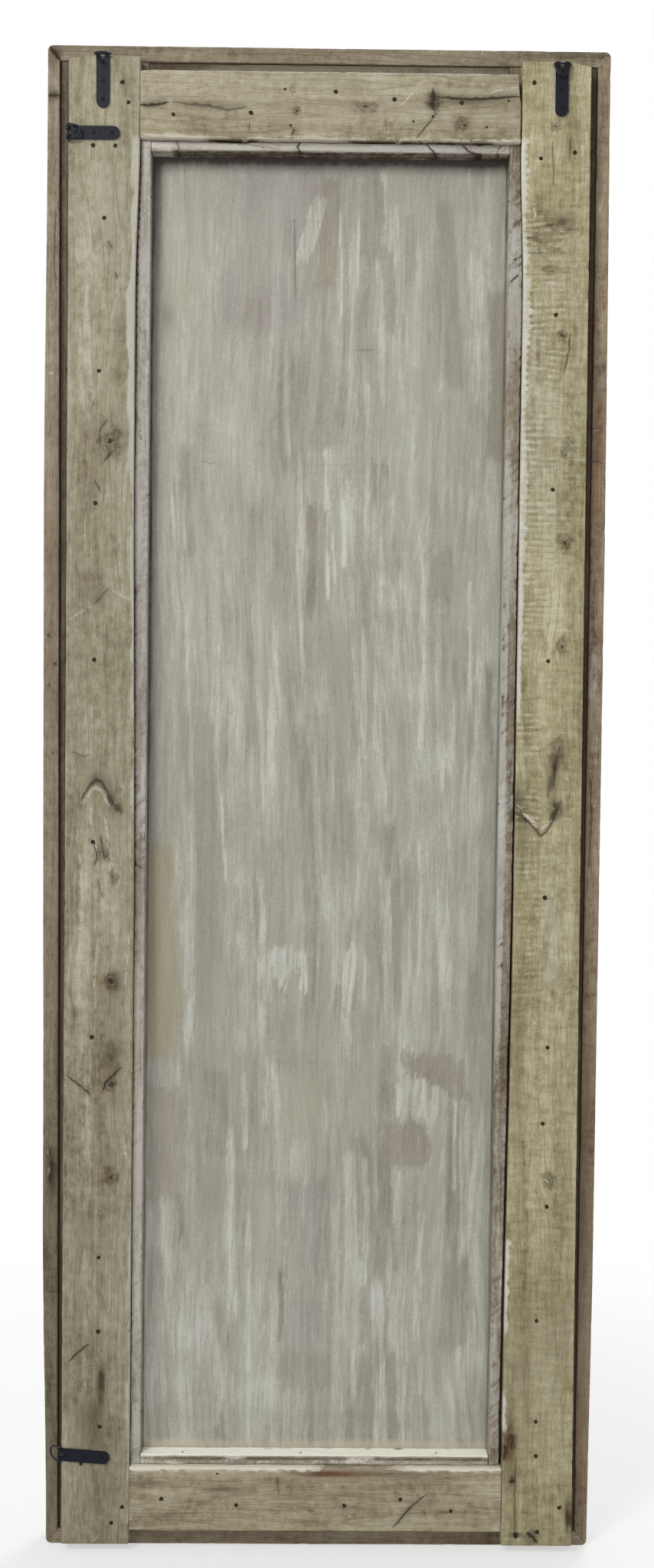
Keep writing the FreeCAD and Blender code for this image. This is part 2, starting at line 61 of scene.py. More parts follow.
# How a board's own axes (across, depth, along) lie in the row frame
UPRIGHT = (0, 1, 2)
LYING = (2, 1, 0)


# Random numbers on a grid, the same at each run

CELL_PRIMES = (374761393, 668265263, 974634777)
HASH_PRIME = 1274126177
LOW_BITS = 0xFFFFFFFF


def lattice(cells, seed):
    """A number from -1 to 1 for each whole cell."""
    c = cells.astype(np.int64)
    n = sum(c[..., k] * prime for k, prime in enumerate(CELL_PRIMES)) + seed * HASH_PRIME
    n = n & LOW_BITS
    n = ((n ^ (n >> 13)) * HASH_PRIME) & LOW_BITS
    n = n ^ (n >> 16)
    return n / 2.0 ** 31 - 1.0


def noise(points, size, seed):
    """Smooth noise from -1 to 1 whose lumps have the given size along each axis."""
    p = points / np.asarray(size, float)
    cell = np.floor(p)
    f = p - cell
    f = f * f * (3 - 2 * f)
    total = 0
    for corner in np.ndindex(2, 2, 2):
        weight = np.prod(np.where(corner, f, 1 - f), axis=-1)
        total = total + weight * lattice(cell + np.array(corner), seed)
    return total


def line_noise(along, size, seed):
    """Noise along one line, with lumps of a size in millimetres."""
    points = np.zeros(along.shape + (3,))
    points[..., 0] = along
    return noise(points, (size * MM, 1, 1), seed)


def smooth(value, low, high):
    """0 below low, 1 above high and a smooth step between. low may be the larger one."""
    t = np.clip((value - low) / (high - low), 0, 1)
    return t * t * (3 - 2 * t)


def between(value, start, full, last, stop):
    """1 from full to last, falling smoothly to 0 at start and at stop."""
    return smooth(value, start, full) * smooth(value, stop, last)


# Timber as swept sections

# Steps round a corner, and the most of a side that a corner may take up
ROUNDING = (0.0, 0.33, 0.67, 1.0)
LARGEST_CUT = 0.45
# What a mesh carries where there is no knot or line near: a distance in radii, and one in metres
NO_KNOT = 9.0
NO_LINE = 1.0
# Share of the eased end at which a board has a ring of its own
END_RING = 0.3
SHARP_TIMBER = math.radians(48)
# How far apart the grain of different boards lies in their texture
GRAIN_SHIFT = 0.37


def unit(v):
    return v / np.maximum(np.linalg.norm(v, axis=-1, keepdims=True), 1e-9)


def section_rings(corners, cut, counts):
    """Points round a section at each ring: straight sides and rounded corners.

    corners is rings x corners x 2, cut is how far each corner is rounded off, and counts is
    the number of steps on the side after each corner."""
    to_before = np.roll(corners, 1, axis=1) - corners
    to_after = np.roll(corners, -1, axis=1) - corners
    shortest = np.minimum(np.linalg.norm(to_before, axis=-1), np.linalg.norm(to_after, axis=-1))
    cut = np.minimum(cut, LARGEST_CUT * shortest)[..., None]
    start, end = corners + unit(to_before) * cut, corners + unit(to_after) * cut
    loops = []
    for k, count in enumerate(counts):
        for t in ROUNDING:
            loops.append((1 - t) ** 2 * start[:, k] + 2 * t * (1 - t) * corners[:, k] + t * t * end[:, k])
        following = start[:, (k + 1) % len(counts)]
        for t in np.linspace(0, 1, count + 1)[1:-1]:
            loops.append((1 - t) * end[:, k] + t * following)
    return np.stack(loops, axis=1)


def stations(start, stop, step, ease):
    """Places of the rings along a board, closer together at its two worn ends."""
    inner = np.linspace(start + ease, stop - ease, max(3, round((stop - start) / step)))
    return np.concatenate([[start, start + END_RING * ease], inner, [stop - END_RING * ease, stop]])


def outline(along, rows):
    """Corners of a section at each ring, from (across, depth) rows of one number or one for each ring."""
    flat = np.ones(along.shape)
    return np.stack([np.stack([a * flat, d * flat], axis=-1) for a, d in rows], axis=1)


class Timber:
    """One sawn piece: rings of points along its length, and what its surface carries."""

    def __init__(self, node, turn, along, corners, counts, cut, seed, ease=0.8 * MM, suffix="_wood"):
        self.node, self.name, self.turn, self.seed, self.along = node, node + suffix, turn, seed, along
        rings = section_rings(corners, cut, counts)
        inset = np.clip(1 - np.minimum(along - along[0], along[-1] - along) / ease, 0, 1) * ease
        tangent = unit(np.roll(rings, -1, axis=1) - np.roll(rings, 1, axis=1))
        self.normal = np.stack([tangent[..., 1], -tangent[..., 0]], axis=-1)
        rings = rings - self.normal * inset[:, None, None]
        length = np.broadcast_to(along[:, None], rings.shape[:2])
        self.points = np.concatenate([rings, length[..., None]], axis=-1)
        self.deflect = 5 * MM * self.lumps(38, 38, 160, seed + 90)
        self.knot, self.crack, self.coat, self.saw = (np.zeros(self.points.shape) for _ in range(4))
        self.knot[..., 1] = NO_KNOT
        self.crack[..., 0] = NO_LINE
        self.torn = self.crack.copy()

    @property
    def across(self):
        return self.points[..., 0]

    @property
    def depth(self):
        return self.points[..., 1]

    @property
    def length(self):
        return self.points[..., 2]

    def lumps(self, across, depth, along, seed):
        """Noise from -1 to 1 over the surface, with lumps of a size in millimetres."""
        return noise(self.points, (across * MM, depth * MM, along * MM), seed)

    def local(self, x, z):
        """A place in the row frame, in millimetres, as (across, along) in metres."""
        return (x * MM, z * MM) if self.turn == UPRIGHT else (z * MM, x * MM)

    def ellipse(self, x, z, wide, high):
        """Squared distance from a place in the row frame, in half widths and half heights in millimetres."""
        (a, l), (half_a, half_l) = self.local(x, z), self.local(wide, high)
        return ((self.across - a) / half_a) ** 2 + ((self.length - l) / half_l) ** 2

    def spot(self, x, z, wide, high):
        """1 at a place in the row frame, falling off over a half width and half height in millimetres."""
        return np.exp(-self.ellipse(x, z, wide, high))

    def carve(self, depth):
        """Takes wood away, by a depth for each point."""
        self.points[..., :2] -= self.normal * depth[..., None]

    def weather(self, wave=0.35 * MM, fibre=0.14 * MM):
        """Uneven planing and raised grain."""
        broad = 0.5 + 0.5 * self.lumps(55, 55, 210, self.seed)
        grain = 0.5 + 0.5 * self.lumps(5, 5, 70, self.seed + 1)
        self.carve(wave * broad + fibre * grain)

    def mark(self, knots=(), cracks=(), torn=(), stains=(), bare=()):
        """Lays the marks of a board's table. Bare wood is (x, z, half width, half height, amount)."""
        self.add_knots(knots)
        self.add_lines(cracks)
        self.add_lines(torn, pale=True)
        self.add_stains(stains)
        for x, z, wide, high, amount in bare:
            self.add_bare(amount * self.spot(x, z, wide, high))

    def add_knots(self, knots):
        """Knots as (x, z, radius, stretch along the grain, darkness, redness)."""
        for x, z, radius, stretch, dark, red in knots:
            a, l = self.local(x, z)
            da, dl = self.across - a, (self.length - l) / stretch
            lump = 0.9 * radius
            wobble = 1 + 0.45 * self.lumps(lump, lump, lump * stretch, self.seed + 40)
            far = np.sqrt(da ** 2 + dl ** 2) / (radius * MM) * wobble
            self.deflect -= da / (1 + far ** 2)
            nearer = far < self.knot[..., 1]
            self.knot[..., 1] = np.where(nearer, far, self.knot[..., 1])
            self.knot[..., 0] = np.where(nearer, dark * smooth(far, 3.2, 2.2), self.knot[..., 0])
            self.knot[..., 2] = np.maximum(self.knot[..., 2], np.exp(-(far / 2.2) ** 2) * red)
            self.carve(0.5 * MM * np.exp(-(far / 0.8) ** 2) * dark)

    def add_lines(self, lines, pale=False):
        """Cracks, or pale torn grain, as (width, depth, points), where points are (x, z)."""
        field = self.torn if pale else self.crack
        for width, depth, places in lines:
            best, place = self.nearest_on(np.array([self.local(x, z) for x, z in places]))
            taper = np.sqrt(np.clip(5 * place * (1 - place), 0, 1))
            half = 0.5 * width * MM * taper * smooth(np.abs(best), 11 * MM, 5 * MM)
            strong = min(1.0, (0.4 if pale else 0.2) + 1.1 * abs(depth))
            nearer = np.abs(best) < np.abs(field[..., 0])
            for k, value in enumerate((best, half, strong)):
                field[..., k] = np.where(nearer, value, field[..., k])
            self.carve(depth * MM * np.exp(-(best / (width * MM)) ** 2) * taper)
            if not pale:
                self.add_stain_and_painted_light(0.45 * strong * np.exp(-(best / (2.6 * width * MM)) ** 2) * taper)

    def nearest_on(self, route):
        """Distance from a route, with a sign for its side, and how far along it, from 0 to 1."""
        runs = np.linalg.norm(np.diff(route, axis=0), axis=1)
        gone = np.concatenate([[0], np.cumsum(runs)])
        best = np.full(self.across.shape, NO_LINE)
        place = np.zeros(self.across.shape)
        for k, run in enumerate(runs):
            step = (route[k + 1] - route[k]) / run
            da, dl = self.across - route[k][0], self.length - route[k][1]
            t = np.clip(da * step[0] + dl * step[1], 0, run)
            side = np.sign(da * step[1] - dl * step[0] + 1e-12)
            distance = np.hypot(da - t * step[0], dl - t * step[1]) * side
            nearer = np.abs(distance) < np.abs(best)
            best = np.where(nearer, distance, best)
            place = np.where(nearer, (gone[k] + t) / gone[-1], place)
        return best, place

    def add_stains(self, stains):
        """Soft patches as (x, z, half width, half height, amount), dark above 0 and pale below."""
        rough = 0.35 * self.lumps(12, 12, 30, self.seed + 60)
        for x, z, wide, high, amount in stains:
            self.add_stain_and_painted_light(amount * np.exp(-self.ellipse(x, z, wide, high) * (1 + rough)))

    def add_stain_and_painted_light(self, amount):
        """Dirt and painted shade above 0, and paler wood and painted highlights below."""
        self.coat[..., 1] += amount

    def add_wash(self, amount):
        """Whitewash, as an amount from 0 to 1 at each point, or above 1 where it is thick."""
        self.coat[..., 0] = np.maximum(self.coat[..., 0], amount)

    def add_bare(self, amount):
        """Bare reddish wood, from 0 to 1."""
        self.coat[..., 2] = np.maximum(self.coat[..., 2], amount)

    def add_ripple(self, wave):
        """Waves across the grain from a saw, from -1 in a hollow to 1 on a crest."""
        self.carve(0.35 * MM * np.clip(-wave, 0, 1))
        self.saw[..., 0] = wave

    def add_ticks(self, amount):
        """Slanting cuts of saw teeth, from 0 to 1."""
        self.saw[..., 1] = np.clip(amount, 0, 1)

    def piece(self, finish, slot):
        """The closed mesh, in the place of its node."""
        rings, count = self.points.shape[:2]
        places = self.points[..., self.turn].reshape(-1, 3)
        first = np.arange(rings - 1)[:, None] * count
        here = np.arange(count)[None, :]
        after = (here + 1) % count
        quads = np.stack([first + here, first + after, first + count + after, first + count + here], axis=-1)
        quads = quads.reshape(-1, 4)
        caps = [np.arange(count)[::-1], (rings - 1) * count + np.arange(count)]
        if self.turn == LYING:
            quads = quads[:, ::-1]
            caps = [c[::-1] for c in caps]
        mesh = bpy.data.meshes.new(self.name)
        mesh.from_pydata(places.tolist(), [], quads.tolist() + [c.tolist() for c in caps])
        for key in ("knot", "crack", "torn", "coat", "saw"):
            put(mesh, key, getattr(self, key))
        grain = self.points.copy()
        grain[..., 0] += self.deflect
        grain[..., 2] += self.seed * GRAIN_SHIFT
        put(mesh, "grain", grain)
        return place(self.name, mesh, SHARP_TIMBER, finish, slot, self.node)


def put(mesh, key, values):
    """Three values for each point of a mesh, for its material to read."""
    attribute = mesh.attributes.new(key, "FLOAT_VECTOR", "POINT")
    attribute.data.foreach_set("vector", values.reshape(-1).astype(np.float32))


def place(name, mesh, sharp, finish, slot, node):
    """A new piece of the object, which stands for a CAD node and rides on the frame."""
    mesh.shade_smooth()
    mesh.set_sharp_from_angle(angle=sharp)
    mesh.materials.append(finish)
    piece = bpy.data.objects.new(name, mesh)
    bpy.context.scene.collection.objects.link(piece)
    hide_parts(node)
    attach(piece, "frame")
    return piece


# Shader graphs

class Graph:
    """The nodes of a material or a world, written as short calls."""

    def __init__(self, owner):
        owner.use_nodes = True
        self.owner, self.tree = owner, owner.node_tree
        self.shader = self.tree.nodes.get("Principled BSDF")

    @cached_property
    def place(self):
        """Where on the object a point is, in metres."""
        return self.node("ShaderNodeTexCoord").outputs["Object"]

    def node(self, kind, inputs=None, **settings):
        made = self.tree.nodes.new(kind)
        for key, value in settings.items():
            setattr(made, key, value)
        for key, value in (inputs or {}).items():
            self.feed(made.inputs[key], value)
        return made

    def feed(self, socket, value):
        if isinstance(value, bpy.types.NodeSocket):
            self.tree.links.new(value, socket)
        else:
            socket.default_value = value

    def attribute(self, name):
        """The three values of a mesh attribute, and the vector itself."""
        vector = self.node("ShaderNodeAttribute", attribute_name=name).outputs["Vector"]
        split = self.node("ShaderNodeSeparateXYZ", {0: vector})
        return [*split.outputs, vector]

    def math(self, operation, a, b=0.0, clamp=False):
        return self.node("ShaderNodeMath", {0: a, 1: b}, operation=operation, use_clamp=clamp).outputs[0]

    def times(self, total, *values, clamp=False):
        """The product of values."""
        for value in values:
            total = self.math("MULTIPLY", total, value, clamp)
        return total

    def sum(self, *parts):
        """The sum of (value, weight) pairs."""
        total = 0.0
        for value, weight in parts:
            made = self.node("ShaderNodeMath", {0: value, 1: weight, 2: total}, operation="MULTIPLY_ADD")
            total = made.outputs[0]
        return total

    def texture(self, vector, scale, detail, **inputs):
        """A noise texture with as many lumps a metre along each axis as scale says."""
        scaled = self.node("ShaderNodeVectorMath", {0: vector, 1: scale}, operation="MULTIPLY").outputs[0]
        return self.node("ShaderNodeTexNoise", {"Vector": scaled, "Scale": 1.0, "Detail": detail, **inputs})

    def noise(self, vector, scale, detail=3.0, rough=0.55):
        """Noise about 0."""
        return self.math("SUBTRACT", self.texture(vector, scale, detail, Roughness=rough).outputs["Fac"], 0.5)

    def warp(self, vector, scale, amount):
        """Coordinates pushed about by noise, up to the amount along each axis."""
        push = self.texture(vector, scale, 2.0).outputs["Color"]
        moved = {0: push, 1: (amount,) * 3, 2: vector}
        return self.node("ShaderNodeVectorMath", moved, operation="MULTIPLY_ADD").outputs[0]

    def step(self, value, low, high, bottom=0.0, top=1.0):
        """A smooth step from bottom at low to top at high."""
        inputs = {0: value, 1: low, 2: high, 3: bottom, 4: top}
        return self.node("ShaderNodeMapRange", inputs, interpolation_type="SMOOTHSTEP").outputs[0]

    def lay(self, colour, over, share, strength=1.0):
        """A colour with a share of another one laid over it."""
        if strength != 1.0:
            share = self.times(share, strength)
        inputs = {0: share, 6: colour, 7: over}
        return self.node("ShaderNodeMix", inputs, data_type="RGBA", clamp_factor=True).outputs[2]

    def layers(self, colour, *rows):
        """A colour with others laid over it in turn, as (colour, share) or (colour, share, strength)."""
        for row in rows:
            colour = self.lay(colour, *row)
        return colour

    def ramp(self, value, stops):
        """Colours at places from 0 to 1."""
        made = self.node("ShaderNodeValToRGB", {0: value})
        marks = made.color_ramp.elements
        while len(marks) < len(stops):
            marks.new(0.5)
        for mark, (at, colour) in zip(marks, stops):
            mark.position, mark.color = at, colour
        return made.outputs[0]

    def surface(self, colour, roughness, height, distance, strength, **even):
        """Feeds the shader. even holds values that are the same all over."""
        self.feed(self.shader.inputs["Base Color"], colour)
        self.feed(self.shader.inputs["Roughness"], roughness)
        bump = self.node("ShaderNodeBump", {"Height": height, "Distance": distance, "Strength": strength})
        self.feed(self.shader.inputs["Normal"], bump.outputs[0])
        for key, value in even.items():
            self.shader.inputs[key.replace("_", " ")].default_value = value
        return self.owner


def material(name):
    return Graph(bpy.data.materials.new(name))


def tint(red, green, blue):
    """A colour from its 0 to 255 screen values."""
    parts = [c / 255 for c in (red, green, blue)]
    return [c / 12.92 if c <= 0.04045 else ((c + 0.055) / 1.055) ** 2.4 for c in parts] + [1.0]


# Phase of the slanting saw cuts in a metre, for one cut in each 5 mm
TICK_TURN = 2 * math.pi / (5 * MM)
RED_WOOD = tint(116, 82, 60)
KNOT_BROWN = tint(54, 43, 32)
DIRT_AND_SHADE = tint(70, 58, 43)
CHALK_AND_HIGHLIGHT = tint(204, 201, 184)
TORN_WOOD = tint(212, 204, 186)
CRACK_BROWN = tint(48, 39, 29)


def crack_mask(g, name, mottle, speck):
    """Up to 1 in the middle of the ragged lines that a mesh carries."""
    distance, half, strong, _ = g.attribute(name)
    off = g.math("ABSOLUTE", g.sum((mottle, 0.006), (speck, 0.0018), (distance, 1.0)))
    return g.times(g.step(g.math("DIVIDE", off, g.math("ADD", half, 1e-5)), 1.7, 0.2), strong)


def weathered_wood(name, dark, middle, pale, wash, saw, contrast=1.0, cut=None):
    """Old sawn wood: wavy streaks along the grain, knots, cracks, saw marks, dirt with painted shade and
    highlights, and whitewash.

    Colours are screen values. saw is how strong the fine marks across the grain are, contrast how much
    the grain varies, and cut the colour in the slanting saw cuts, where it isn't the dark one."""
    dark, middle, pale, wash, cut = (tint(*c) for c in (dark, middle, pale, wash, cut or dark))
    g = material(name)
    across, _, along, plain = g.attribute("grain")
    grain = g.warp(plain, (26, 26, 9), 0.011)
    broad = g.noise(grain, (34, 34, 2.6))
    streak = g.noise(grain, (170, 170, 7), 5, 0.68)
    fibre = g.noise(grain, (620, 620, 34), 4, 0.7)
    pore = g.noise(grain, (1000, 1000, 75), 2)
    cloud = g.noise(grain, (15, 15, 9), 4, 0.62)
    kerf = g.noise(grain, (26, 26, 135), 3, 0.65)
    ring = g.noise(grain, (24, 24, 1.3), 2, 0.5)
    mottle = g.noise(g.place, (105, 105, 80), 4, 0.72)
    speck = g.noise(g.place, (640, 640, 480), 3, 0.75)
    patch = g.noise(g.place, (38, 38, 70), 3)

    # the grain: year rings as thin lines, pores and pale glints
    contour = g.math("ABSOLUTE", g.math("PINGPONG", ring, 0.035))
    lines = g.times(g.step(contour, 0.011, 0.0), g.step(g.sum((cloud, 1.0), (mottle, 0.8)), -0.12, 0.12))
    grained = ((broad, 0.7), (streak, 0.7), (fibre, 0.6), (cloud, 0.75), (mottle, 0.85))
    grained = [(value, share * contrast) for value, share in grained]
    tone = g.sum(*grained, (speck, 0.6), (kerf, saw), (1.0, 0.5))
    pores = g.step(pore, 0.14, 0.24)
    glints = g.step(pore, -0.15, -0.25)

    # the marks of saws: waves across the grain, and slanting cuts
    wave, ticked, _, _ = g.attribute("saw")
    broken = g.step(g.sum((mottle, 1.0), (speck, 0.6), (patch, 0.9)), -0.13, 0.13)
    rise = g.sum((wave, 1.0), (mottle, 1.1), (speck, 0.9))
    trough = g.times(g.step(rise, -0.2, -0.8), broken, g.step(wave, 0.0, -0.3))
    crest = g.times(g.step(rise, 0.35, 0.8), broken, g.step(wave, 0.1, 0.45))
    turns = g.sum((along, TICK_TURN), (across, 1.5 * TICK_TURN), (mottle, 5.0), (cloud, 6.0))
    bitten = g.step(g.sum((mottle, 1.0), (speck, 0.8)), -0.16, 0.1)
    cuts = g.times(g.step(g.math("SINE", turns), 0.1, 0.9), bitten, ticked)

    # knots: a dark core, a rim, a halo and year rings in it
    knotted, far, ruddy, _ = g.attribute("knot")
    ragged = g.sum((far, 1.0), (mottle, 2.8), (speck, 1.6))
    core, halo = g.step(ragged, 0.6, 0.25), g.step(ragged, 2.6, 0.6)
    rim = g.times(g.step(ragged, 0.8, 1.05), g.step(ragged, 1.5, 1.1))
    year = g.times(halo, g.step(g.math("SINE", g.times(ragged, 9.0)), 0.1, 0.9))
    eye = g.times(knotted, g.sum((core, 0.8), (rim, 0.42), (halo, 0.22), (year, 0.3)), clamp=True)

    # dirt and painted shade, pale patches and painted highlights, and bare wood, all of them broken up along
    # the grain
    washed, stain_and_painted_light, bare, _ = g.attribute("coat")
    soil_and_painted_light = g.times(stain_and_painted_light, g.sum((streak, 2.2), (mottle, 2.0), (cloud, 1.4), (1.0, 1.0)))
    stripped = g.times(bare, g.sum((streak, 1.5), (mottle, 1.5), (1.0, 0.7)), clamp=True)

    # whitewash, which is whiter where it is thick
    cover = g.sum((washed, 1.0), (streak, 0.8), (mottle, 1.0), (speck, 0.6), (pore, 0.4))
    cover = g.times(g.step(cover, 0.24, 0.80), g.step(washed, 0.02, 0.25))
    thick = g.step(washed, 1.0, 1.4)
    milk = g.lay(wash, middle, g.sum((fibre, 0.8), (cloud, 0.9), (mottle, 0.8), (thick, -0.3), (1.0, 0.22)))

    split = crack_mask(g, "crack", mottle, speck)
    frayed = g.step(g.sum((mottle, 1.0), (speck, 1.0)), -0.14, 0.0)
    torn = g.times(crack_mask(g, "torn", mottle, speck), frayed)
    colour = g.layers(
        g.ramp(tone, [(0.14, dark), (0.5, middle), (0.86, pale)]),
        (dark, lines, 0.38), (dark, pores, 0.45), (pale, glints, 0.3),
        (dark, trough, 0.55), (pale, crest, 0.85), (cut, cuts, 0.62),
        (RED_WOOD, ruddy, 0.5), (KNOT_BROWN, eye),
        (DIRT_AND_SHADE, g.step(soil_and_painted_light, 0.0, 1.2)), (CHALK_AND_HIGHLIGHT, g.step(soil_and_painted_light, 0.0, -1.2)), (RED_WOOD, stripped),
        (milk, g.times(cover, g.sum((thick, 0.15), (1.0, 0.85)))),
        (TORN_WOOD, torn, 0.9), (CRACK_BROWN, split, 0.9),
    )
    height = g.sum(
        (fibre, 0.7), (streak, 0.9), (pores, -0.5), (mottle, 0.8), (speck, 0.5), (kerf, 1.5 * saw),
        (split, -1.6), (lines, -0.4), (trough, -0.8), (crest, 0.6), (cuts, -1.0), (torn, 0.7), (cover, 0.3),
        (eye, -0.6),
    )
    rough = g.sum((streak, 0.25), (cover, 0.06), (1.0, 0.80))
    return g.surface(colour, rough, height, 0.9 * MM, 0.7, Specular_IOR_Level=0.2)


# Screen colours of each timber: dark grain, middle, pale grain and whitewash, then how strong its fine saw
# marks are, how much its grain varies and the colour in its slanting cuts
WOODS = {
    "back_left": (
        (110, 100, 77), (154, 147, 123), (184, 179, 159), (199, 198, 190), 0.12, 1.0, (202, 195, 170)
    ),
    "back_right": ((122, 110, 78), (168, 160, 125), (204, 197, 167), (220, 217, 206), 0.5),
    "rail_top": ((106, 94, 73), (158, 150, 124), (187, 180, 156), (208, 202, 188), 0.10),
    "rail_bottom": ((112, 100, 76), (165, 156, 129), (192, 184, 159), (228, 222, 204), 0.08),
    "band": ((92, 80, 62), (138, 127, 107), (166, 156, 137), (192, 186, 174), 0.15),
    "band_right": ((96, 75, 56), (147, 131, 108), (177, 163, 141), (206, 198, 184), 0.30),
    "face": ((84, 76, 62), (126, 117, 100), (156, 148, 131), (190, 184, 170), 0.05),
    "bead": ((118, 107, 94), (166, 160, 149), (193, 187, 176), (196, 191, 182), 0.20),
    "bead_right": ((92, 77, 61), (141, 130, 112), (177, 167, 150), (198, 197, 189), 0.35, 1.2),
    "bead_bottom": ((112, 98, 84), (162, 153, 138), (196, 189, 174), (255, 252, 240), 0.08, 0.8),
}
WOOD = {name: weathered_wood("wood_" + name, *look) for name, look in WOODS.items()}


def washed_panel():
    """Thin grey paint in overlapping upright brush strokes over a brown board."""
    g = material("panel_wash")
    swirl = g.warp(g.warp(g.place, (3.2, 3.2, 1.1), 0.09), (30, 30, 12), 0.009)
    wide = g.noise(swirl, (30, 30, 3.0), 3, 0.6)
    stroke = g.noise(swirl, (115, 115, 6.5), 5, 0.68)
    hair = g.noise(swirl, (430, 430, 16), 4, 0.65)
    cloud = g.noise(g.place, (18, 18, 13), 4, 0.64)
    speck = g.noise(g.place, (420, 420, 380), 3, 0.75)
    grit = g.noise(g.place, (900, 900, 850), 2, 0.7)
    tone, hue, warm, _ = g.attribute("paint")
    dragged = g.sum((tone, 1.0), (g.times(tone, stroke), 1.2), (g.times(tone, hair), 0.8))
    cover = g.sum(
        (wide, 0.45), (stroke, 0.85), (hair, 0.5), (cloud, 0.45), (speck, 0.5), (grit, 0.3), (dragged, 0.27),
        (1.0, 0.56),
    )
    paint = g.ramp(cover, [
        (0.08, tint(126, 117, 107)), (0.38, tint(153, 148, 138)), (0.62, tint(170, 168, 155)),
        (0.95, tint(200, 200, 190)),
    ])
    lilac, green, ochre = tint(160, 151, 148), tint(167, 169, 149), tint(158, 146, 112)
    shift = g.sum((hue, 1.0), (cloud, 0.9), (wide, 0.6))
    warmth = g.sum((warm, 1.0), (cloud, 0.5), (stroke, 0.5))

    filler, shadow, crack = tint(200, 192, 170), tint(80, 76, 72), tint(66, 60, 53)
    filled, stain_and_painted_light, _, _ = g.attribute("coat")
    spread = g.step(g.sum((filled, 1.0), (cloud, 1.4), (stroke, 0.6), (speck, 0.6)), 0.1, 0.95, 0.0, 0.8)
    # dirt and stains, with the painted shade and shadow beside the beads, laid in the shadow colour
    dirt = g.times(stain_and_painted_light, g.sum((stroke, 1.6), (cloud, 1.8), (1.0, 1.0)))
    split = crack_mask(g, "crack", cloud, speck)
    colour = g.layers(
        paint, (lilac, g.step(shift, 0.1, 1.4, 0.0, 0.38)), (green, g.step(shift, -0.1, -1.1, 0.0, 0.5)),
        (ochre, g.step(warmth, 0.05, 1.2, 0.0, 0.6)), (filler, g.times(spread, g.step(filled, 0.02, 0.3))),
        (shadow, g.step(dirt, 0.0, 1.2)), (crack, split, 0.75),
    )
    height = g.sum((stroke, 0.8), (hair, 0.6), (speck, 0.4), (tone, 0.5), (split, -1.0))
    rough = g.sum((stroke, 0.3), (cloud, 0.2), (1.0, 0.74))
    return g.surface(colour, rough, height, 0.6 * MM, 0.55, Specular_IOR_Level=0.25)


def painted_iron(name, colour, worn, roughness):
    """Dark paint on forged iron, rubbed through here and there."""
    g = material(name)
    hammer = g.noise(g.place, (260, 260, 260), 2)
    grit = g.noise(g.place, (2600, 2600, 2600), 3, 0.7)
    rub = g.noise(g.place, (420, 420, 420), 4, 0.7)
    deep = [c * 0.55 for c in colour[:3]] + [1.0]
    shade = g.ramp(g.sum((hammer, 0.9), (grit, 0.5), (1.0, 0.5)), [(0.2, deep), (0.8, colour)])
    bare = g.step(g.sum((rub, 1.0), (grit, 0.4)), 0.18, 0.32, 0.0, 0.6)
    g.feed(g.shader.inputs["Metallic"], g.times(bare, 0.6))
    rough = g.sum((hammer, 0.3), (grit, 0.3), (1.0, roughness))
    height = g.sum((hammer, 1.0), (grit, 0.25))
    return g.surface(g.lay(shade, worn, bare), rough, height, 0.6 * MM, 0.5, Specular_IOR_Level=0.22)


# The rebate hides this much of the glass at its edges, and its silver is dull over this much beside that
GLASS_HIDDEN = 18 * MM
GLASS_DULL = 40 * MM


def silvered_glass():
    """Mirror with slightly uneven silver that has gone dull in spots near its edges."""
    g = material("silvered_glass")
    x, _, z = g.node("ShaderNodeSeparateXYZ", {0: g.place}).outputs
    low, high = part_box("mirror_glass")
    from_middle = g.math("ABSOLUTE", g.math("SUBTRACT", z, 0.5 * (low.z + high.z)))
    edge_x = g.math("SUBTRACT", high.x - GLASS_HIDDEN, g.math("ABSOLUTE", x))
    edge_z = g.math("SUBTRACT", 0.5 * (high.z - low.z) - GLASS_HIDDEN, from_middle)
    near = g.step(g.math("MINIMUM", edge_x, edge_z), GLASS_DULL, 0.0)
    spot = g.noise(g.place, (190, 190, 190), 4, 0.65)
    haze = g.noise(g.place, (7, 7, 5), 3)
    dull = g.step(g.sum((spot, 1.0), (near, 0.16)), 0.20, 0.27)
    colour = g.lay(tint(232, 237, 235), tint(120, 112, 100), dull, 0.7)
    rough = g.sum((dull, 0.35), (haze, 0.02), (1.0, 0.025))
    return g.surface(colour, rough, haze, 0.05 * MM, 0.05, Metallic=1.0)


PANEL = washed_panel()
STRAP = painted_iron("strap_paint", tint(13, 17, 31), tint(50, 55, 72), 0.5)
WIRE = painted_iron("ring_wire", tint(24, 28, 42), tint(104, 108, 120), 0.35)
SCREW = painted_iron("screw_paint", tint(8, 9, 15), tint(34, 37, 48), 0.55)
NAIL = painted_iron("nail_rust", tint(56, 45, 34), tint(88, 70, 52), 0.85)
GLASS = silvered_glass()


# Boards with the sizes of their nodes

# How near its end a node's width is read
END_ZONE = 12 * MM
# The deepest chips, and how high the noise has to rise for one
CHIP = 3.5 * MM
CHIP_FROM = 0.62


def across_at(node, turn, end):
    """The lowest and highest place across a node near its low (0) or high (1) end."""
    places = np.array([v.co for v in NODES[node].data.vertices])
    along, across = places[:, turn[2]], places[:, turn[0]]
    limit = along.max() if end else along.min()
    near = np.abs(along - limit) < END_ZONE
    return across[near].min(), across[near].max()


def edge_at(node, side, heights):
    """The place of an upright node's low (0) or high (1) edge at some heights."""
    foot, head = (across_at(node, UPRIGHT, end)[side] for end in (0, 1))
    low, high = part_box(node)
    return foot + (head - foot) * (heights - low.z) / (high.z - low.z)


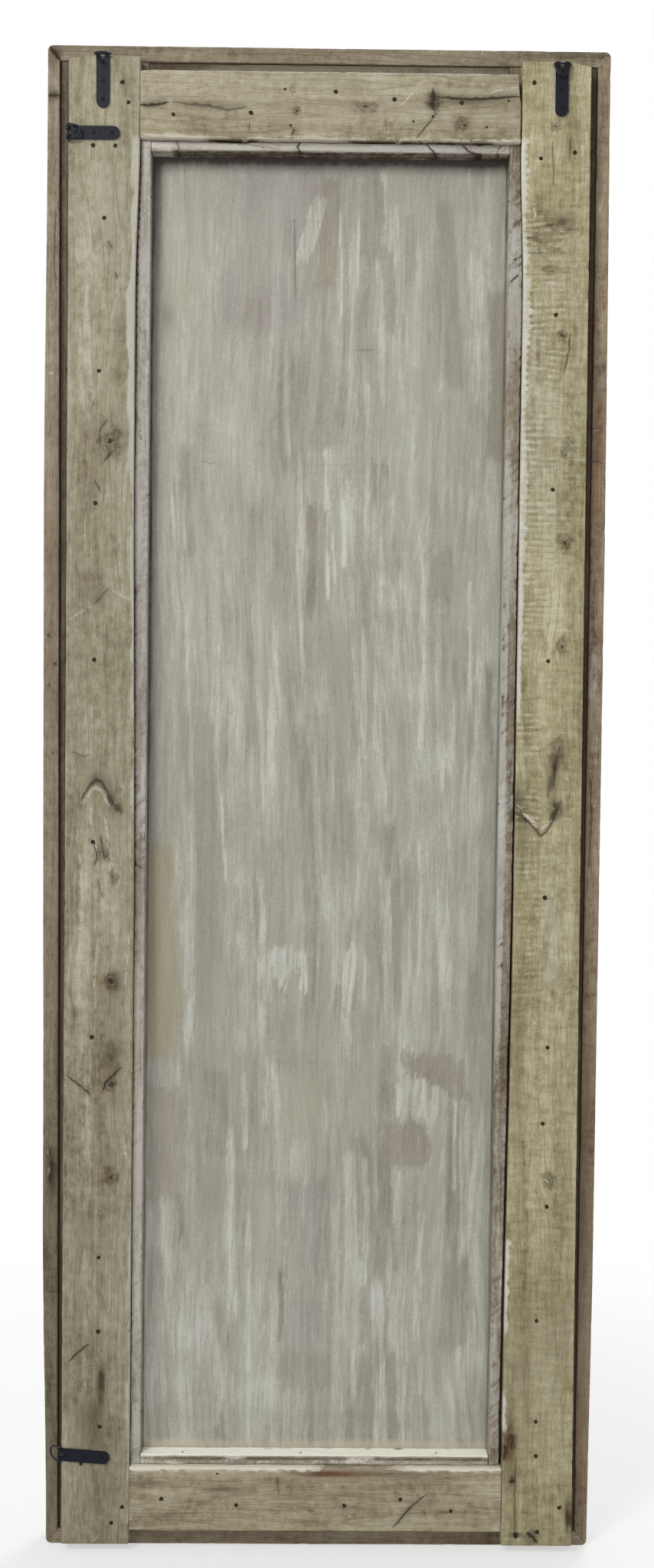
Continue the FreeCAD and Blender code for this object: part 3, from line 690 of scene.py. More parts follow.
def worn_edge(along, seed):
    """Extra rounding of an arris: slow changes and a few chips."""
    slow = 0.5 * MM * line_noise(along, 35, seed)
    fine = 0.25 * MM * line_noise(along, 6, seed + 1)
    chips = CHIP * np.clip(line_noise(along, 17, seed + 2) - CHIP_FROM, 0, 1) * 2.6
    return slow + fine + chips


def worn_corners(along, seed, step, arris, chipping):
    """Rounding of a section's four corners at each ring, with seeds a step apart."""
    return np.stack([arris + chipping * worn_edge(along, seed + step * k) for k in range(4)], axis=1)


def jags(along, size, seed):
    """Bites out of an edge at random places, from 0 to 1."""
    return np.clip(line_noise(along, size, seed), 0, 1)


def straight_board(node, turn, step, counts, seed, arris=1.4 * MM, chipping=1.0, shrink=0.0, ends=0.0,
                   wear=None, suffix="_wood"):
    """A board with the outline of its node, whose edges may run out of parallel.

    counts are the steps on the front, the high edge, the back and the low edge. shrink is how much
    narrower it is at each edge, and ends how much shorter at each end. wear is one of the corners, with
    a function for its extra rounding. Returns the timber and its two edges at each ring."""
    low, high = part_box(node)
    start, stop = low[turn[2]] + ends, high[turn[2]] - ends
    along = stations(start, stop, step, 0.9 * MM)
    share = (along - start) / (stop - start)
    a, b = ((1 - share) * foot + share * head
            for foot, head in zip(across_at(node, turn, 0), across_at(node, turn, 1)))
    a, b = a + shrink, b - shrink
    corners = outline(along, [(a, low.y), (b, low.y), (b, high.y), (a, high.y)])
    cut = worn_corners(along, seed, 7, arris, chipping)
    if wear:
        corner, rounding = wear
        cut[:, corner] += rounding(along)
    return Timber(node, turn, along, corners, counts, cut, seed, suffix=suffix), (a, b)


# Back stiles. Marks are read from the photograph in millimetres: knots as (x, z, radius, stretch along
# the grain, darkness, redness), cracks and torn grain as (width, depth, [(x, z), ...]), stains and bare
# wood as (x, z, half width, half height, amount)

STILE_STEPS = (8, 9, 44, 9)
# How far from its inner edge a stile follows the hollow of that edge
HOLLOW_REACH = 60 * MM
# How far below its top a stile's clipped corner starts
CLIP_START = 60 * MM
# Heights of the saw cuts on the left stile and of the whitewash on the right one
LEFT_CUTS = (1.62, 1.66, 1.75, 1.78)
RIGHT_WASHED = ((1.02, 1.12, 1.78, 1.79), (0.27, 0.30, 0.40, 0.42), (0.15, 0.17, 0.20, 0.22))
# How far apart the saw's waves and bites are, and the patch it tore, as (x, z, half width, half height)
SAW_PITCH = 8.2 * MM
BITE_PITCH = 9.5 * MM
TORN_PATCH = (-274, 1668, 38, 44)
LEFT_MARKS = {
    "knots": [
        (267, 1410, 9, 1.3, 0.9, 0.1), (263, 868, 4, 1.2, 0.8, 0.1), (265, 735, 6, 1.2, 0.95, 0.6),
        (266, 640, 8, 1.4, 0.5, 0.2), (264, 604, 5, 1.4, 0.8, 0.4), (264, 486, 5, 1.3, 0.8, 0.4),
        (272, 893, 4, 1.2, 0.5, 0.1), (256, 976, 3, 1.2, 0.6, 0.1),
    ],
    "cracks": [
        (3.8, 0.55, [(304, 962), (298, 972), (292, 982), (284, 989), (277, 985), (270, 973), (264, 960),
                     (257, 949)]), (2.4, 0.3, [(262, 958), (256, 955), (251, 946)]),
        (1.3, 0.3, [(316, 1024), (300, 1018), (292, 1022)]), (1.3, 0.3, [(312, 930), (309, 918)]),
        (1.8, 0.5, [(287, 912), (283, 890), (288, 880)]), (1.3, 0.3, [(283, 865), (276, 840)]),
        (1.6, 0.5, [(279, 921), (277, 905), (274, 888)]),
        (2.6, 0.25, [(270, 1228), (279, 1217), (289, 1207)]),
        (2.2, 0.6, [(321, 616), (307, 604), (290, 590)]), (2.2, 0.6, [(274, 596), (271, 607), (251, 626)]),
        (2.2, 0.6, [(319, 246), (305, 260), (290, 271)]), (2.0, 0.5, [(266, 1397), (276, 1385)]),
        (1.6, 0.4, [(271, 1437), (279, 1428), (283, 1415)]), (1.6, 0.4, [(288, 1362), (281, 1348)]),
        (1.5, 0.4, [(263, 1617), (259, 1608)]), (1.5, 0.4, [(272, 1655), (266, 1644)]),
    ],
    "torn": [
        (3.6, -0.2, [(300, 959), (295, 968), (290, 976), (284, 980), (278, 975), (272, 965), (267, 954)]),
        (2.6, -0.05, [(289, 1207), (306, 1197), (322, 1186)]),
        (2.6, -0.05, [(268, 1228), (254, 1220), (241, 1213)]),
        (2.2, -0.2, [(238, 1088), (237, 1050), (237, 1006)]),
        (3.0, -0.2, [(242, 795), (244, 765), (247, 730)]),
        (3.4, -0.05, [(310, 925), (304, 890), (302, 850), (302, 820), (304, 790), (306, 758)]),
        (3.8, -0.1, [(289, 958), (291, 940), (288, 921), (284, 905), (286, 892)]),
        (3.8, -0.1, [(275, 945), (270, 925), (268, 905), (262, 878)]),
        (3.0, -0.02, [(280, 800), (286, 740), (284, 690)]), (3.0, -0.02, [(300, 560), (296, 500)]),
        (3.0, 0.0, [(292, 1500), (290, 1440)]), (3.0, 0.0, [(305, 1560), (308, 1490)]),
        (2.0, -0.3, [(316, 235), (308, 227)]), (1.8, -0.3, [(299, 221), (294, 215)]),
        (1.8, -0.2, [(287, 13), (278, 22)]), (1.4, -0.2, [(246, 742), (246, 726)]),
        (2.4, -0.3, [(245, 519), (246, 503)]),
    ],
    "stains": [
        (276, 222, 6, 26, 1.0), (290, 185, 20, 26, 0.4), (285, 150, 16, 26, 0.35), (268, 500, 16, 36, 0.3),
        (260, 690, 16, 50, 0.3), (254, 585, 16, 34, 0.35), (300, 1400, 14, 50, 0.15), (280, 60, 60, 90, 0.08),
        (284, 992, 22, 14, 0.3), (262, 954, 14, 22, 0.35), (306, 958, 10, 16, 0.25), (262, 900, 14, 40, 0.25),
        (262, 735, 16, 22, 0.45), (266, 640, 14, 22, 0.5), (300, 1012, 16, 8, 0.3), (262, 1410, 14, 24, 0.3),
        (290, 1230, 26, 40, 0.25), (250, 820, 10, 60, 0.3), (308, 330, 14, 60, 0.25), (256, 370, 12, 60, 0.3),
        (280, 1690, 60, 110, 0.2), (290, 300, 50, 120, -0.12), (308, 700, 10, 160, -0.35),
        (298, 820, 7, 150, -0.4), (292, 560, 6, 90, -0.5), (270, 830, 16, 40, -0.35),
        (296, 1600, 8, 160, -0.3), (300, 1480, 12, 120, -0.3),
    ],
}
RIGHT_MARKS = {
    "knots": [
        (-290, 1546, 3.5, 1.6, 0.8, 0.1), (-299, 1408, 5, 1.2, 0.8, 0.1), (-299, 1291, 5, 1.3, 0.75, 0.1),
        (-298, 1161, 5, 1.3, 0.8, 0.2), (-279, 1801, 4, 1.2, 0.7, 0.1), (-291, 484, 7, 1.1, 0.8, 0.1),
        (-290, 1684, 10, 0.8, 0.25, 0.1), (-294, 1032, 7, 1.5, 0.7, 0.2),
    ],
    "cracks": [
        (2.6, 0.5, [(-240, 952), (-250, 948), (-258, 941), (-266, 932), (-274, 923), (-281, 928),
                    (-288, 940), (-298, 964)]),
        (6.0, 0.3, [(-294, 1028), (-292, 1012), (-288, 996), (-281, 972)]),
        (6.0, 0.35, [(-299, 968), (-293, 954), (-285, 942)]),
        (2.6, 0.4, [(-301, 1548), (-300, 1525), (-293, 1498)]),
        (1.8, 0.3, [(-275, 1782), (-277, 1756), (-278, 1728)]), (1.6, 0.3, [(-298, 1790), (-297, 1758)]),
        (2.4, 0.8, [(-245, 94), (-253, 94)]), (4.0, 1.0, [(-255, 28), (-255, 20)]),
        (4.0, 1.0, [(-269, 28), (-276, 22), (-284, 14)]), (3.0, 0.6, [(-248, 157), (-249, 146), (-247, 135)]),
        (3.2, 0.6, [(-239, 142), (-240, 132), (-238, 122)]),
        (1.1, 0.3, [(-268, 1682), (-274, 1680), (-280, 1682)]), (0.9, 0.3, [(-244, 1665), (-258, 1666)]),
        (0.9, 0.3, [(-250, 1690), (-258, 1688)]), (0.9, 0.3, [(-246, 1646), (-266, 1646)]),
        (0.9, 0.3, [(-262, 1626), (-284, 1622)]), (1.6, 0.4, [(-254, 125), (-253, 70), (-255, 15)]),
    ],
    "torn": [
        (4.8, -0.6, [(-251, 952), (-257, 948), (-263, 942), (-270, 934), (-276, 933), (-283, 939)]),
        (2.4, -0.3, [(-243, 962), (-249, 958), (-254, 960)]),
        (2.0, -0.3, [(-284, 912), (-291, 905), (-288, 898)]), (1.5, -0.3, [(-278, 962), (-292, 957)]),
        (1.5, -0.3, [(-300, 945), (-316, 944)]), (1.5, -0.3, [(-298, 930), (-314, 926)]),
        (1.5, -0.3, [(-302, 998), (-308, 993), (-304, 990)]), (1.5, -0.3, [(-250, 1076), (-262, 1076)]),
        (1.6, -0.3, [(-286, 900), (-298, 894)]), (1.4, -0.2, [(-262, 800), (-276, 796)]),
        (1.4, -0.2, [(-264, 786), (-290, 782)]), (1.6, -0.3, [(-285, 917), (-300, 908)]),
        (2.2, -0.4, [(-286, 487), (-291, 482)]), (2.0, -0.4, [(-297, 485), (-299, 480)]),
        (1.8, -0.3, [(-276, 471), (-287, 469)]), (1.8, -0.3, [(-270, 452), (-286, 448)]),
        (2.4, -0.4, [(-254, 1702), (-256, 1694), (-254, 1684)]),
        (1.8, -0.3, [(-278, 1677), (-288, 1673), (-297, 1672)]), (1.6, -0.3, [(-272, 1656), (-288, 1654)]),
        (1.6, -0.3, [(-246, 1651), (-262, 1650)]), (1.6, -0.3, [(-268, 1640), (-290, 1638)]),
        (1.8, -0.3, [(-244, 1668), (-256, 1667)]), (1.6, -0.3, [(-272, 1612), (-292, 1610)]),
        (1.6, -0.3, [(-300, 1662), (-318, 1661)]), (1.6, -0.3, [(-298, 1630), (-318, 1629)]),
        (1.4, -0.3, [(-248, 1476), (-296, 1472)]), (1.4, -0.3, [(-256, 1463), (-300, 1461)]),
        (1.4, -0.3, [(-246, 1362), (-284, 1362)]), (1.4, -0.3, [(-262, 1330), (-290, 1326)]),
        (1.4, -0.3, [(-284, 1262), (-304, 1260)]),
    ],
    "stains": [
        (-291, 1685, 13, 8, 0.55), (-268, 1680, 16, 7, 0.45), (-262, 1664, 22, 9, 0.5),
        (-284, 1702, 12, 10, 0.3), (-276, 1640, 26, 16, 0.25), (-270, 1622, 24, 8, 0.25),
        (-280, 1390, 60, 190, -0.3), (-280, 280, 60, 130, 0.26), (-323, 52, 5, 24, 1.0),
        (-289, 1000, 9, 38, 0.55), (-293, 955, 12, 18, 0.5), (-246, 965, 10, 26, 0.5),
        (-300, 1030, 10, 14, 0.5), (-262, 905, 16, 12, 0.3), (-290, 780, 24, 60, -0.35),
        (-278, 870, 20, 40, -0.25), (-248, 700, 8, 160, 0.3), (-318, 640, 6, 300, 0.25),
        (-282, 600, 8, 120, 0.2), (-300, 1800, 16, 40, 0.3), (-320, 1100, 5, 200, 0.25),
        (-258, 1150, 8, 80, 0.2), (-248, 930, 10, 60, 0.35), (-286, 30, 40, 40, 0.12),
        (-244, 140, 8, 40, 0.6), (-255, 600, 10, 200, 0.2), (-300, 520, 8, 200, 0.15),
        (-272, 560, 14, 160, -0.2), (-290, 700, 10, 160, -0.2), (-262, 1500, 10, 120, -0.25),
        (-292, 940, 12, 30, -0.3),
    ],
    "bare": [(-239, 165, 5, 26, 0.9), (-249, 143, 4, 14, 0.8), (-240, 130, 4, 10, 0.8)],
}


def flecks(count, xs, zs, depth, seed):
    """Short torn marks across the grain at random, as lines for add_lines."""
    rng = np.random.default_rng(seed)
    made = []
    for _ in range(count):
        x, z, run = rng.uniform(*xs), rng.uniform(*zs), rng.uniform(3, 12)
        route = [(x + share * run, z + rng.normal(0, 0.9)) for share in (-1, 0, 1)]
        made.append((rng.uniform(0.9, 1.8), depth, route))
    return made


def scallops(along, pitch, seed):
    """Bites along an edge, like those of a coarse saw, from 0 to 1."""
    drift = 2.0 * line_noise(along, 40, seed)
    return (0.5 + 0.5 * np.sin(along * (2 * math.pi / pitch) + drift)) ** 2


def hollow(x, along):
    """How far the inner edge of the stile on x's side stands back. The beads are wider there."""
    depth, foot, full = (4 * MM, 0.8, 1.4) if x > 0 else (4.8 * MM, 0.15, 0.9)
    return math.copysign(depth, x) * between(along, foot, full, 1.6, 1.775)


def back_stile(node, outward, seed, wood, marks, clip, wash, wear, cuts=None):
    """A back stile, worn along its inner arris.

    outward is the sign of X on its outer side, clip the width and fall of its clipped top corner, and
    cuts the heights of slanting saw cuts beside its outer edge. Without cuts, a coarse saw's waves run
    across it. wash and wear are functions."""
    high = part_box(node)[1]
    inner_corner = 3 if outward > 0 else 2
    timber, edges = straight_board(node, UPRIGHT, 2 * MM, STILE_STEPS, seed, wear=(inner_corner, wear))
    timber.weather()
    inner, outer = edges if outward > 0 else edges[::-1]
    back_by = hollow(outward, timber.along)
    follows = np.clip(1 - np.abs(timber.across - inner[:, None]) / HOLLOW_REACH, 0, 1)
    timber.points[..., 0] += back_by[:, None] * follows
    from_outer = np.abs(timber.across - outer[:, None])
    from_inner = np.abs(timber.across - (inner + back_by)[:, None])
    wide, fall = clip
    clipped = np.clip(1 - from_outer / wide, 0, 1) * smooth(timber.length, high.z - CLIP_START, high.z)
    timber.points[..., 2] -= fall * clipped
    timber.mark(**marks)
    on_back = smooth(timber.depth, high.y - 6 * MM, high.y - 2 * MM)
    timber.add_wash(wash(timber, from_inner) * (0.55 + 0.45 * on_back))
    timber.add_stain_and_painted_light(0.12 * smooth(timber.length, 0.75, 0.05))
    if cuts:
        timber.add_ticks(on_back * between(timber.length, *cuts) * smooth(from_outer, 24 * MM, 10 * MM))
    else:
        coarse_saw(timber, on_back, from_inner)
    timber.piece(wood, "back_wood")


def coarse_saw(timber, on_back, from_inner):
    """Torn flecks, and waves across the grain that are strongest near the inner edge."""
    timber.add_lines(flecks(14, (-306, -246), (1610, 1700), 0.15, 24))
    pale = flecks(14, (-318, -246), (1590, 1690), -0.3, 25) + flecks(34, (-316, -250), (1040, 1590), -0.2, 26)
    timber.add_lines(pale, pale=True)
    torn = timber.spot(*TORN_PATCH)
    sway = 3.6 * timber.lumps(50, 50, 34, 15) + 3.0 * torn * timber.lumps(13, 13, 12, 17)
    wave = np.sin(timber.length * (2 * math.pi / SAW_PITCH) + sway)
    zone = smooth(timber.lumps(26, 26, 40, 16), -0.8, 0.1)
    inward = 0.5 + 0.55 * smooth(from_inner, 75 * MM, 15 * MM)
    upward = 0.35 + 0.5 * smooth(timber.length, 0.5, 0.95) + 0.25 * smooth(timber.length, 1.15, 1.3)
    strength = inward * zone * upward * smooth(timber.length, 1.73, 1.68)
    timber.add_ripple(wave * np.maximum(strength, 0.9 * torn) * on_back)


def left_wash(timber, from_inner):
    """A ragged strip beside the inner edge, wider towards the top."""
    wide = smooth(timber.length, 1.25, 1.5)
    ragged = (2.5 + 2.5 * wide) * MM * timber.lumps(20, 20, 26, 5)
    reach = 6 * MM * wide + 3.5 * MM
    strip = smooth(from_inner + ragged, reach + 3 * MM, reach - 3 * MM) * smooth(timber.length, 1.79, 1.775)
    streaks = smooth(line_noise(timber.length, 90, 6), -0.1, 0.35)
    return 0.8 * strip * np.maximum(smooth(timber.length, 0.85, 1.2), streaks)


def right_wash(timber, from_inner):
    """A strip with saw bites beside the inner edge, in three runs."""
    wide = smooth(timber.length, 1.2, 1.45)
    bite = (0.8 + 2.7 * wide) * MM * scallops(timber.length, BITE_PITCH, 3)
    ragged = (3 + 2 * wide) * MM * timber.lumps(14, 14, 9, 8)
    reach = (3.5 + 8.5 * wide) * MM * (0.65 + 0.35 * line_noise(timber.length, 120, 9)) + 3.5 * MM
    near = smooth(from_inner + bite + ragged, reach + 3 * MM, reach - 4 * MM)
    return 1.15 * near * np.max([between(timber.length, *run) for run in RIGHT_WASHED], axis=0)


def left_wear(along):
    return 0.4 * MM + 0.6 * MM * jags(along, 30, 71)


def right_wear(along):
    bite = 0.65 + 0.35 * line_noise(along, 28, 4)
    return 3.4 * MM * bite * scallops(along, BITE_PITCH, 3) * smooth(along, 0.98, 1.08) + 0.5 * MM


def back_stiles():
    left, right = WOOD["back_left"], WOOD["back_right"]
    left_clip, right_clip = (22 * MM, 3.5 * MM), (28 * MM, 6 * MM)
    back_stile("back_stile_left", 1, 11, left, LEFT_MARKS, left_clip, left_wash, left_wear, LEFT_CUTS)
    back_stile("back_stile_right", -1, 23, right, RIGHT_MARKS, right_clip, right_wash, right_wear)


# Back rails

RAIL_STEPS = (8, 9, 40, 9)
# Where the whitewash of the lower rail is worn off
WORN_RUN = (-0.13, -0.08, -0.02, 0.02)
TOP_MARKS = {
    "knots": [
        (-128, 1832, 5, 0.7, 0.85, 0.2), (-164, 1803, 6, 1.0, 0.8, 0.9), (45, 1841, 3, 0.8, 0.6, 0.1),
        (40, 1815, 3.5, 0.8, 0.8, 0.1), (-46, 1822, 4, 2.2, 0.7, 0.2), (43, 1788, 3, 0.8, 0.7, 0.1),
    ],
    "cracks": [
        (5.0, 0.6, [(-127, 1844), (-128, 1832), (-127, 1818)]),
        (2.8, 0.9, [(-131, 1835), (-150, 1833), (-175, 1832), (-205, 1834), (-238, 1836)]),
        (1.7, 0.5, [(-135, 1818), (-122, 1802), (-107, 1783)]),
        (2.8, 0.9, [(234, 1819), (216, 1821), (198, 1824)]),
        (2.4, 0.35, [(194, 1825), (172, 1822), (149, 1820), (123, 1815), (100, 1820)]),
        (1.2, 0.3, [(98, 1801), (98, 1790)]), (1.4, 0.4, [(43, 1795), (46, 1781)]),
        (1.2, 0.3, [(-70, 1808), (-70, 1792)]),
    ],
    "torn": [
        (1.8, -0.4, [(-196, 1838), (-205, 1842), (-236, 1847)]),
        (1.8, -0.3, [(-117, 1855), (-102, 1838), (-85, 1820)]),
    ],
    "stains": [
        (150, 1822, 60, 9, 0.35), (60, 1822, 60, 6, 0.25), (-30, 1826, 60, 5, 0.25), (-170, 1828, 50, 7, 0.3),
        (30, 1797, 50, 6, 0.25), (-200, 1808, 26, 16, 0.15), (-127, 1828, 9, 16, 0.4),
        (150, 1787, 60, 4, 0.25), (120, 1850, 90, 10, -0.25), (-20, 1848, 90, 10, -0.2),
        (-60, 1800, 50, 8, -0.2),
    ],
}
# Slivers along the lower edge of the upper rail, as (from x, to x, height, width, seed)
TOP_SLIVERS = [
    (230, 196, 1783, 3.0, 1), (190, 120, 1782, 1.6, 2), (112, 60, 1782, 2.0, 3), (56, 24, 1783, 2.4, 4),
    (10, -60, 1782, 1.6, 5), (-70, -128, 1782, 2.0, 6), (-140, -188, 1782, 2.2, 7),
    (-192, -236, 1783, 3.0, 8),
]
BOTTOM_MARKS = {
    "cracks": [
        (2.2, 0.6, [(-97, 32), (-112, 50), (-122, 62), (-140, 76)]), (1.6, 0.3, [(50, 98), (49, 76)]),
        (1.6, 0.4, [(12, 55), (2, 54)]),
    ],
    "torn": [(2.4, -0.3, [(-38, 48), (-44, 48)])],
    "stains": [
        (124, 83, 30, 4, 0.7), (215, 91, 26, 4, 0.6), (-12, 103, 44, 4, 0.9), (-95, 103, 60, 4, 0.5),
        (30, 72, 30, 6, 0.35), (-40, 76, 40, 4, 0.45), (190, 45, 30, 10, 0.4), (-60, 60, 50, 6, 0.25),
        (100, 50, 70, 8, -0.15), (-180, 60, 40, 20, -0.15), (-150, 97, 60, 4, 0.35), (60, 96, 40, 4, 0.2),
    ],
}


def sliver(start, stop, height, width, seed):
    """A lightly wandering torn line along X."""
    rng = np.random.default_rng(seed)
    steps = np.linspace(start, stop, 2 + int(abs(stop - start) / 8))
    return width, -0.3, [(x, height + rng.normal(0, 0.9)) for x in steps]


def back_rail(node, seed, corner, wear):
    """A back rail before its marks, with extra wear on one corner, and its box."""
    timber, _ = straight_board(
        node, LYING, 2.5 * MM, RAIL_STEPS, seed, ends=0.3 * MM, wear=(corner, wear)
    )
    timber.weather()
    return timber, *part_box(node)


def top_rail():
    """The upper back rail, worn back at its right end and broken along its lower edge."""
    def broken(along):
        return 2.2 * MM * (jags(along, 23, 33) + 0.6 * jags(along, 7, 34))

    timber, low, high = back_rail("back_rail_top", 31, 3, broken)
    worn = 3.6 * MM * smooth(timber.across, 1.826, 1.838) + 1.2 * MM
    worn = worn * (0.8 + 0.4 * timber.lumps(9, 9, 9, 35))
    timber.points[..., 2] += worn * smooth(timber.length, low.x + 8 * MM, low.x)
    timber.mark(**{**TOP_MARKS, "torn": TOP_MARKS["torn"] + [sliver(*run) for run in TOP_SLIVERS]})
    ragged = 3 * MM * timber.lumps(9, 9, 24, 36)
    near = smooth(timber.across - low.z + ragged, 6 * MM, 2 * MM)
    timber.add_wash(near * smooth(line_noise(timber.length, 60, 37), -0.6, 0.1))
    timber.add_bare(0.8 * smooth(timber.length, low.x + 3 * MM, low.x + 1 * MM))
    # painted shade on the underside along its lower edge
    lowest = smooth(timber.across, low.z + 1.6 * MM, low.z + 0.6 * MM)
    timber.add_stain_and_painted_light(1.3 * lowest * smooth(timber.depth, high.y - 2 * MM, high.y - 4 * MM))
    # a painted highlight along its upper arris
    timber.add_stain_and_painted_light(-0.7 * smooth(timber.across, high.z - 2.2 * MM, high.z - 0.8 * MM))
    timber.piece(WOOD["rail_top"], "back_wood")


def bottom_rail():
    """The lower back rail, with whitewash along its upper edge."""
    timber, _, high = back_rail("back_rail_bottom", 43, 2, lambda along: 1.2 * MM * jags(along, 14, 44))
    timber.mark(**BOTTOM_MARKS)
    from_top = high.z - timber.across
    ragged = 2.2 * MM * (timber.lumps(8, 8, 18, 46) + timber.lumps(4, 4, 6, 47))
    thick = 1.3 * smooth(from_top + 0.6 * ragged, 4 * MM, 2 * MM)
    thin = 0.35 * smooth(from_top + ragged, 10 * MM, 4 * MM)
    timber.add_wash((thick + thin) * (1 - 0.9 * between(timber.length, *WORN_RUN)))
    timber.add_bare(0.9 * timber.spot(-28, 103, 48, 6) + 0.4 * timber.spot(-120, 104, 40, 4))
    timber.piece(WOOD["rail_bottom"], "back_wood")


# Beads

BEAD_STEPS = (4, 10, 10, 10)
# Heights between which the right bead is paler on its inner side
PALE_RUN = (0.45, 0.75, 1.3, 1.45)
# Cracks across the beads, as those of the stiles
BEAD_BREAKS = {
    "bead_left": [(1.6, 0.5, [(238, 884), (232, 880), (227, 877)]), (1.4, 0.4, [(233, 1420), (229, 1412)])],
    "bead_right": [
        (2.4, 0.7, [(-237, 1622), (-233, 1617), (-226, 1612)]), (1.8, 0.5, [(-236, 1642), (-230, 1640)]),
    ],
    "bead_top": [
        (2.4, 0.8, [(36, 1781), (39, 1774), (34, 1765)]),
        (2.0, 0.7, [(-120, 1780), (-128, 1772), (-134, 1765)]),
        (2.0, 0.7, [(-165, 1780), (-172, 1772), (-190, 1766)]),
        (1.6, 0.5, [(190, 1780), (185, 1772), (188, 1766)]),
        (1.4, 0.4, [(-214, 1780), (-208, 1772), (-210, 1766)]),
        (1.2, 0.3, [(120, 1778), (80, 1774), (60, 1770)]),
    ],
}


def side_bead(node, seed, wood, tooth, wash, gap_dark, low_pale):
    """An upright bead with the slanting marks of a coarse saw on its back.

    tooth is how deep they are, gap_dark how much darker the gap beside the stile is towards the top,
    and low_pale how much paler the bead is towards its foot."""
    low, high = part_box(node)
    timber, edges = straight_board(
        node, UPRIGHT, 2.5 * MM, BEAD_STEPS, seed, arris=0.72 * MM, chipping=0.8, shrink=0.3 * MM
    )
    timber.weather(0.3 * MM, 0.12 * MM)
    inner, outer = edges if low.x > 0 else edges[::-1]
    back_by = hollow(low.x, timber.along)
    share = (timber.across - inner[:, None]) / (outer - inner)[:, None]
    timber.points[..., 0] += back_by[:, None] * np.clip(share, 0, 1)
    back = smooth(timber.depth, high.y - 3 * MM, high.y - 1 * MM)
    slanted = timber.points.copy()
    slanted[..., 2] += 0.7 * timber.across
    marks = smooth(noise(slanted, (22 * MM, 40 * MM, 4.5 * MM), seed + 2), 0.0, 0.7)
    marks = marks * smooth(timber.lumps(9, 40, 60, seed + 3), -0.5, 0.4) * back
    timber.carve(tooth * marks)
    from_outer = np.abs(timber.across - (outer + back_by)[:, None])
    # painted shade in the crevice beside the stile, stronger towards the top
    gap = 1.6 * MM * (0.6 + 0.8 * scallops(timber.length, 11 * MM, seed + 6))
    in_gap = smooth(from_outer, gap + 0.8 * MM, gap - 0.8 * MM)
    dark = 0.25 + gap_dark * smooth(timber.length, 0.6, 1.2)
    furrow = smooth(timber.lumps(3, 40, 70, seed + 8), 0.1, 0.7) * smooth(timber.length, 0.95, 0.6)
    pale = low_pale * smooth(timber.length, 0.95, 0.5)
    timber.add_stain_and_painted_light(0.25 * marks + (0.6 * furrow + dark * in_gap - pale) * back)
    sawn = smooth(line_noise(timber.length, 70, seed + 5), -0.6, 0.2) * smooth(timber.length, 0.25, 0.9)
    timber.add_ticks(back * sawn * (0.35 + 0.65 * smooth(from_outer, 11 * MM, 6 * MM)))
    if low.x < 0:
        wash = wash + 0.6 * smooth(from_outer, 8 * MM, 12 * MM) * between(timber.length, *PALE_RUN)
    timber.add_wash(wash + 0.4 * timber.lumps(14, 14, 120, seed + 4) - 0.4 * marks)
    timber.add_lines(BEAD_BREAKS[node])
    timber.piece(wood, "bead_wood")


def lying_bead(node, seed, corner):
    """The upper or lower bead before its coat, chipped along one corner, and its box."""
    def chipped(along):
        return 1.8 * MM * (jags(along, 26, seed + 5) + 0.5 * jags(along, 8, seed + 6))

    timber, _ = straight_board(
        node, LYING, 2 * MM, BEAD_STEPS, seed, arris=0.9 * MM, shrink=0.3 * MM, wear=(corner, chipped)
    )
    timber.weather(0.4 * MM, 0.15 * MM)
    timber.add_lines(BEAD_BREAKS.get(node, []))
    return timber, *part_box(node)


def top_bead():
    """The upper bead, with painted shade along both edges, and a pale patch near its left end."""
    timber, low, high = lying_bead("bead_top", 51, 2)
    # painted shade on the lower part of its back face, which also gets less whitewash, and along its top edge
    # under the rail; the part above the lower shade is paler
    lower = smooth(timber.across, low.z + 4 * MM, low.z + 1.5 * MM)
    patch = smooth(timber.length, 0.192, 0.197) * smooth(timber.across, high.z - 2 * MM, high.z - 4 * MM)
    timber.add_wash((0.62 + 0.3 * timber.lumps(12, 12, 60, 52)) * (1 - 0.9 * lower))
    timber.add_stain_and_painted_light(0.9 * smooth(timber.across, high.z - 2.4 * MM, high.z - 0.8 * MM) + 0.85 * lower)
    timber.add_stain_and_painted_light(-0.3 * smooth(timber.across, low.z + 5 * MM, low.z + 7 * MM) - 1.2 * patch)
    timber.piece(WOOD["bead"], "bead_wood")


def bottom_bead():
    """The lower bead, white on top and chipped at its front."""
    timber, low, high = lying_bead("bead_bottom", 57, 3)
    on_top = smooth(timber.across, high.z - 2.5 * MM, high.z - 0.8 * MM)
    # a band of painted shade on the back face a little below its top arris, laid with the chips' dirt
    shade = between(high.z - timber.across, 3 * MM, 4.5 * MM, 6 * MM, 9 * MM)
    chips = smooth(timber.lumps(5, 6, 13, 59), 0.32, 0.6)
    chips = chips * (0.12 + 0.88 * smooth(timber.depth, low.y + 6 * MM, low.y + 2 * MM))
    timber.add_wash(0.3 + 1.3 * on_top + 0.4 * timber.lumps(5, 5, 26, 58) - 1.3 * chips)
    timber.add_bare(0.8 * chips)
    timber.add_stain_and_painted_light(0.72 * shade + 0.5 * chips)
    timber.piece(WOOD["bead_bottom"], "bead_wood")


# Backing panel

PANEL_STEPS = (24, 3, 190, 3)
PANEL_CRACKS = [
    (1.7, 0.3, [(43, 1690), (41, 1640), (40, 1592)]), (3.0, 0.2, [(43, 1694), (43, 1686)]),
    (1.9, 0.2, [(-33, 1531), (-60, 1531)]), (1.0, 0.2, [(158, 1392), (146, 1389), (134, 1390)]),
]
PANEL_STAINS = [(200, 1572, 12, 26, 0.5), (0, 166, 260, 10, 0.2)]
# A ruled patch, as (x, z, half width, half height), and how far apart its lines are
RULED_PATCH = (-10, 1400, 70, 60)
RULED_PITCH = 9 * MM
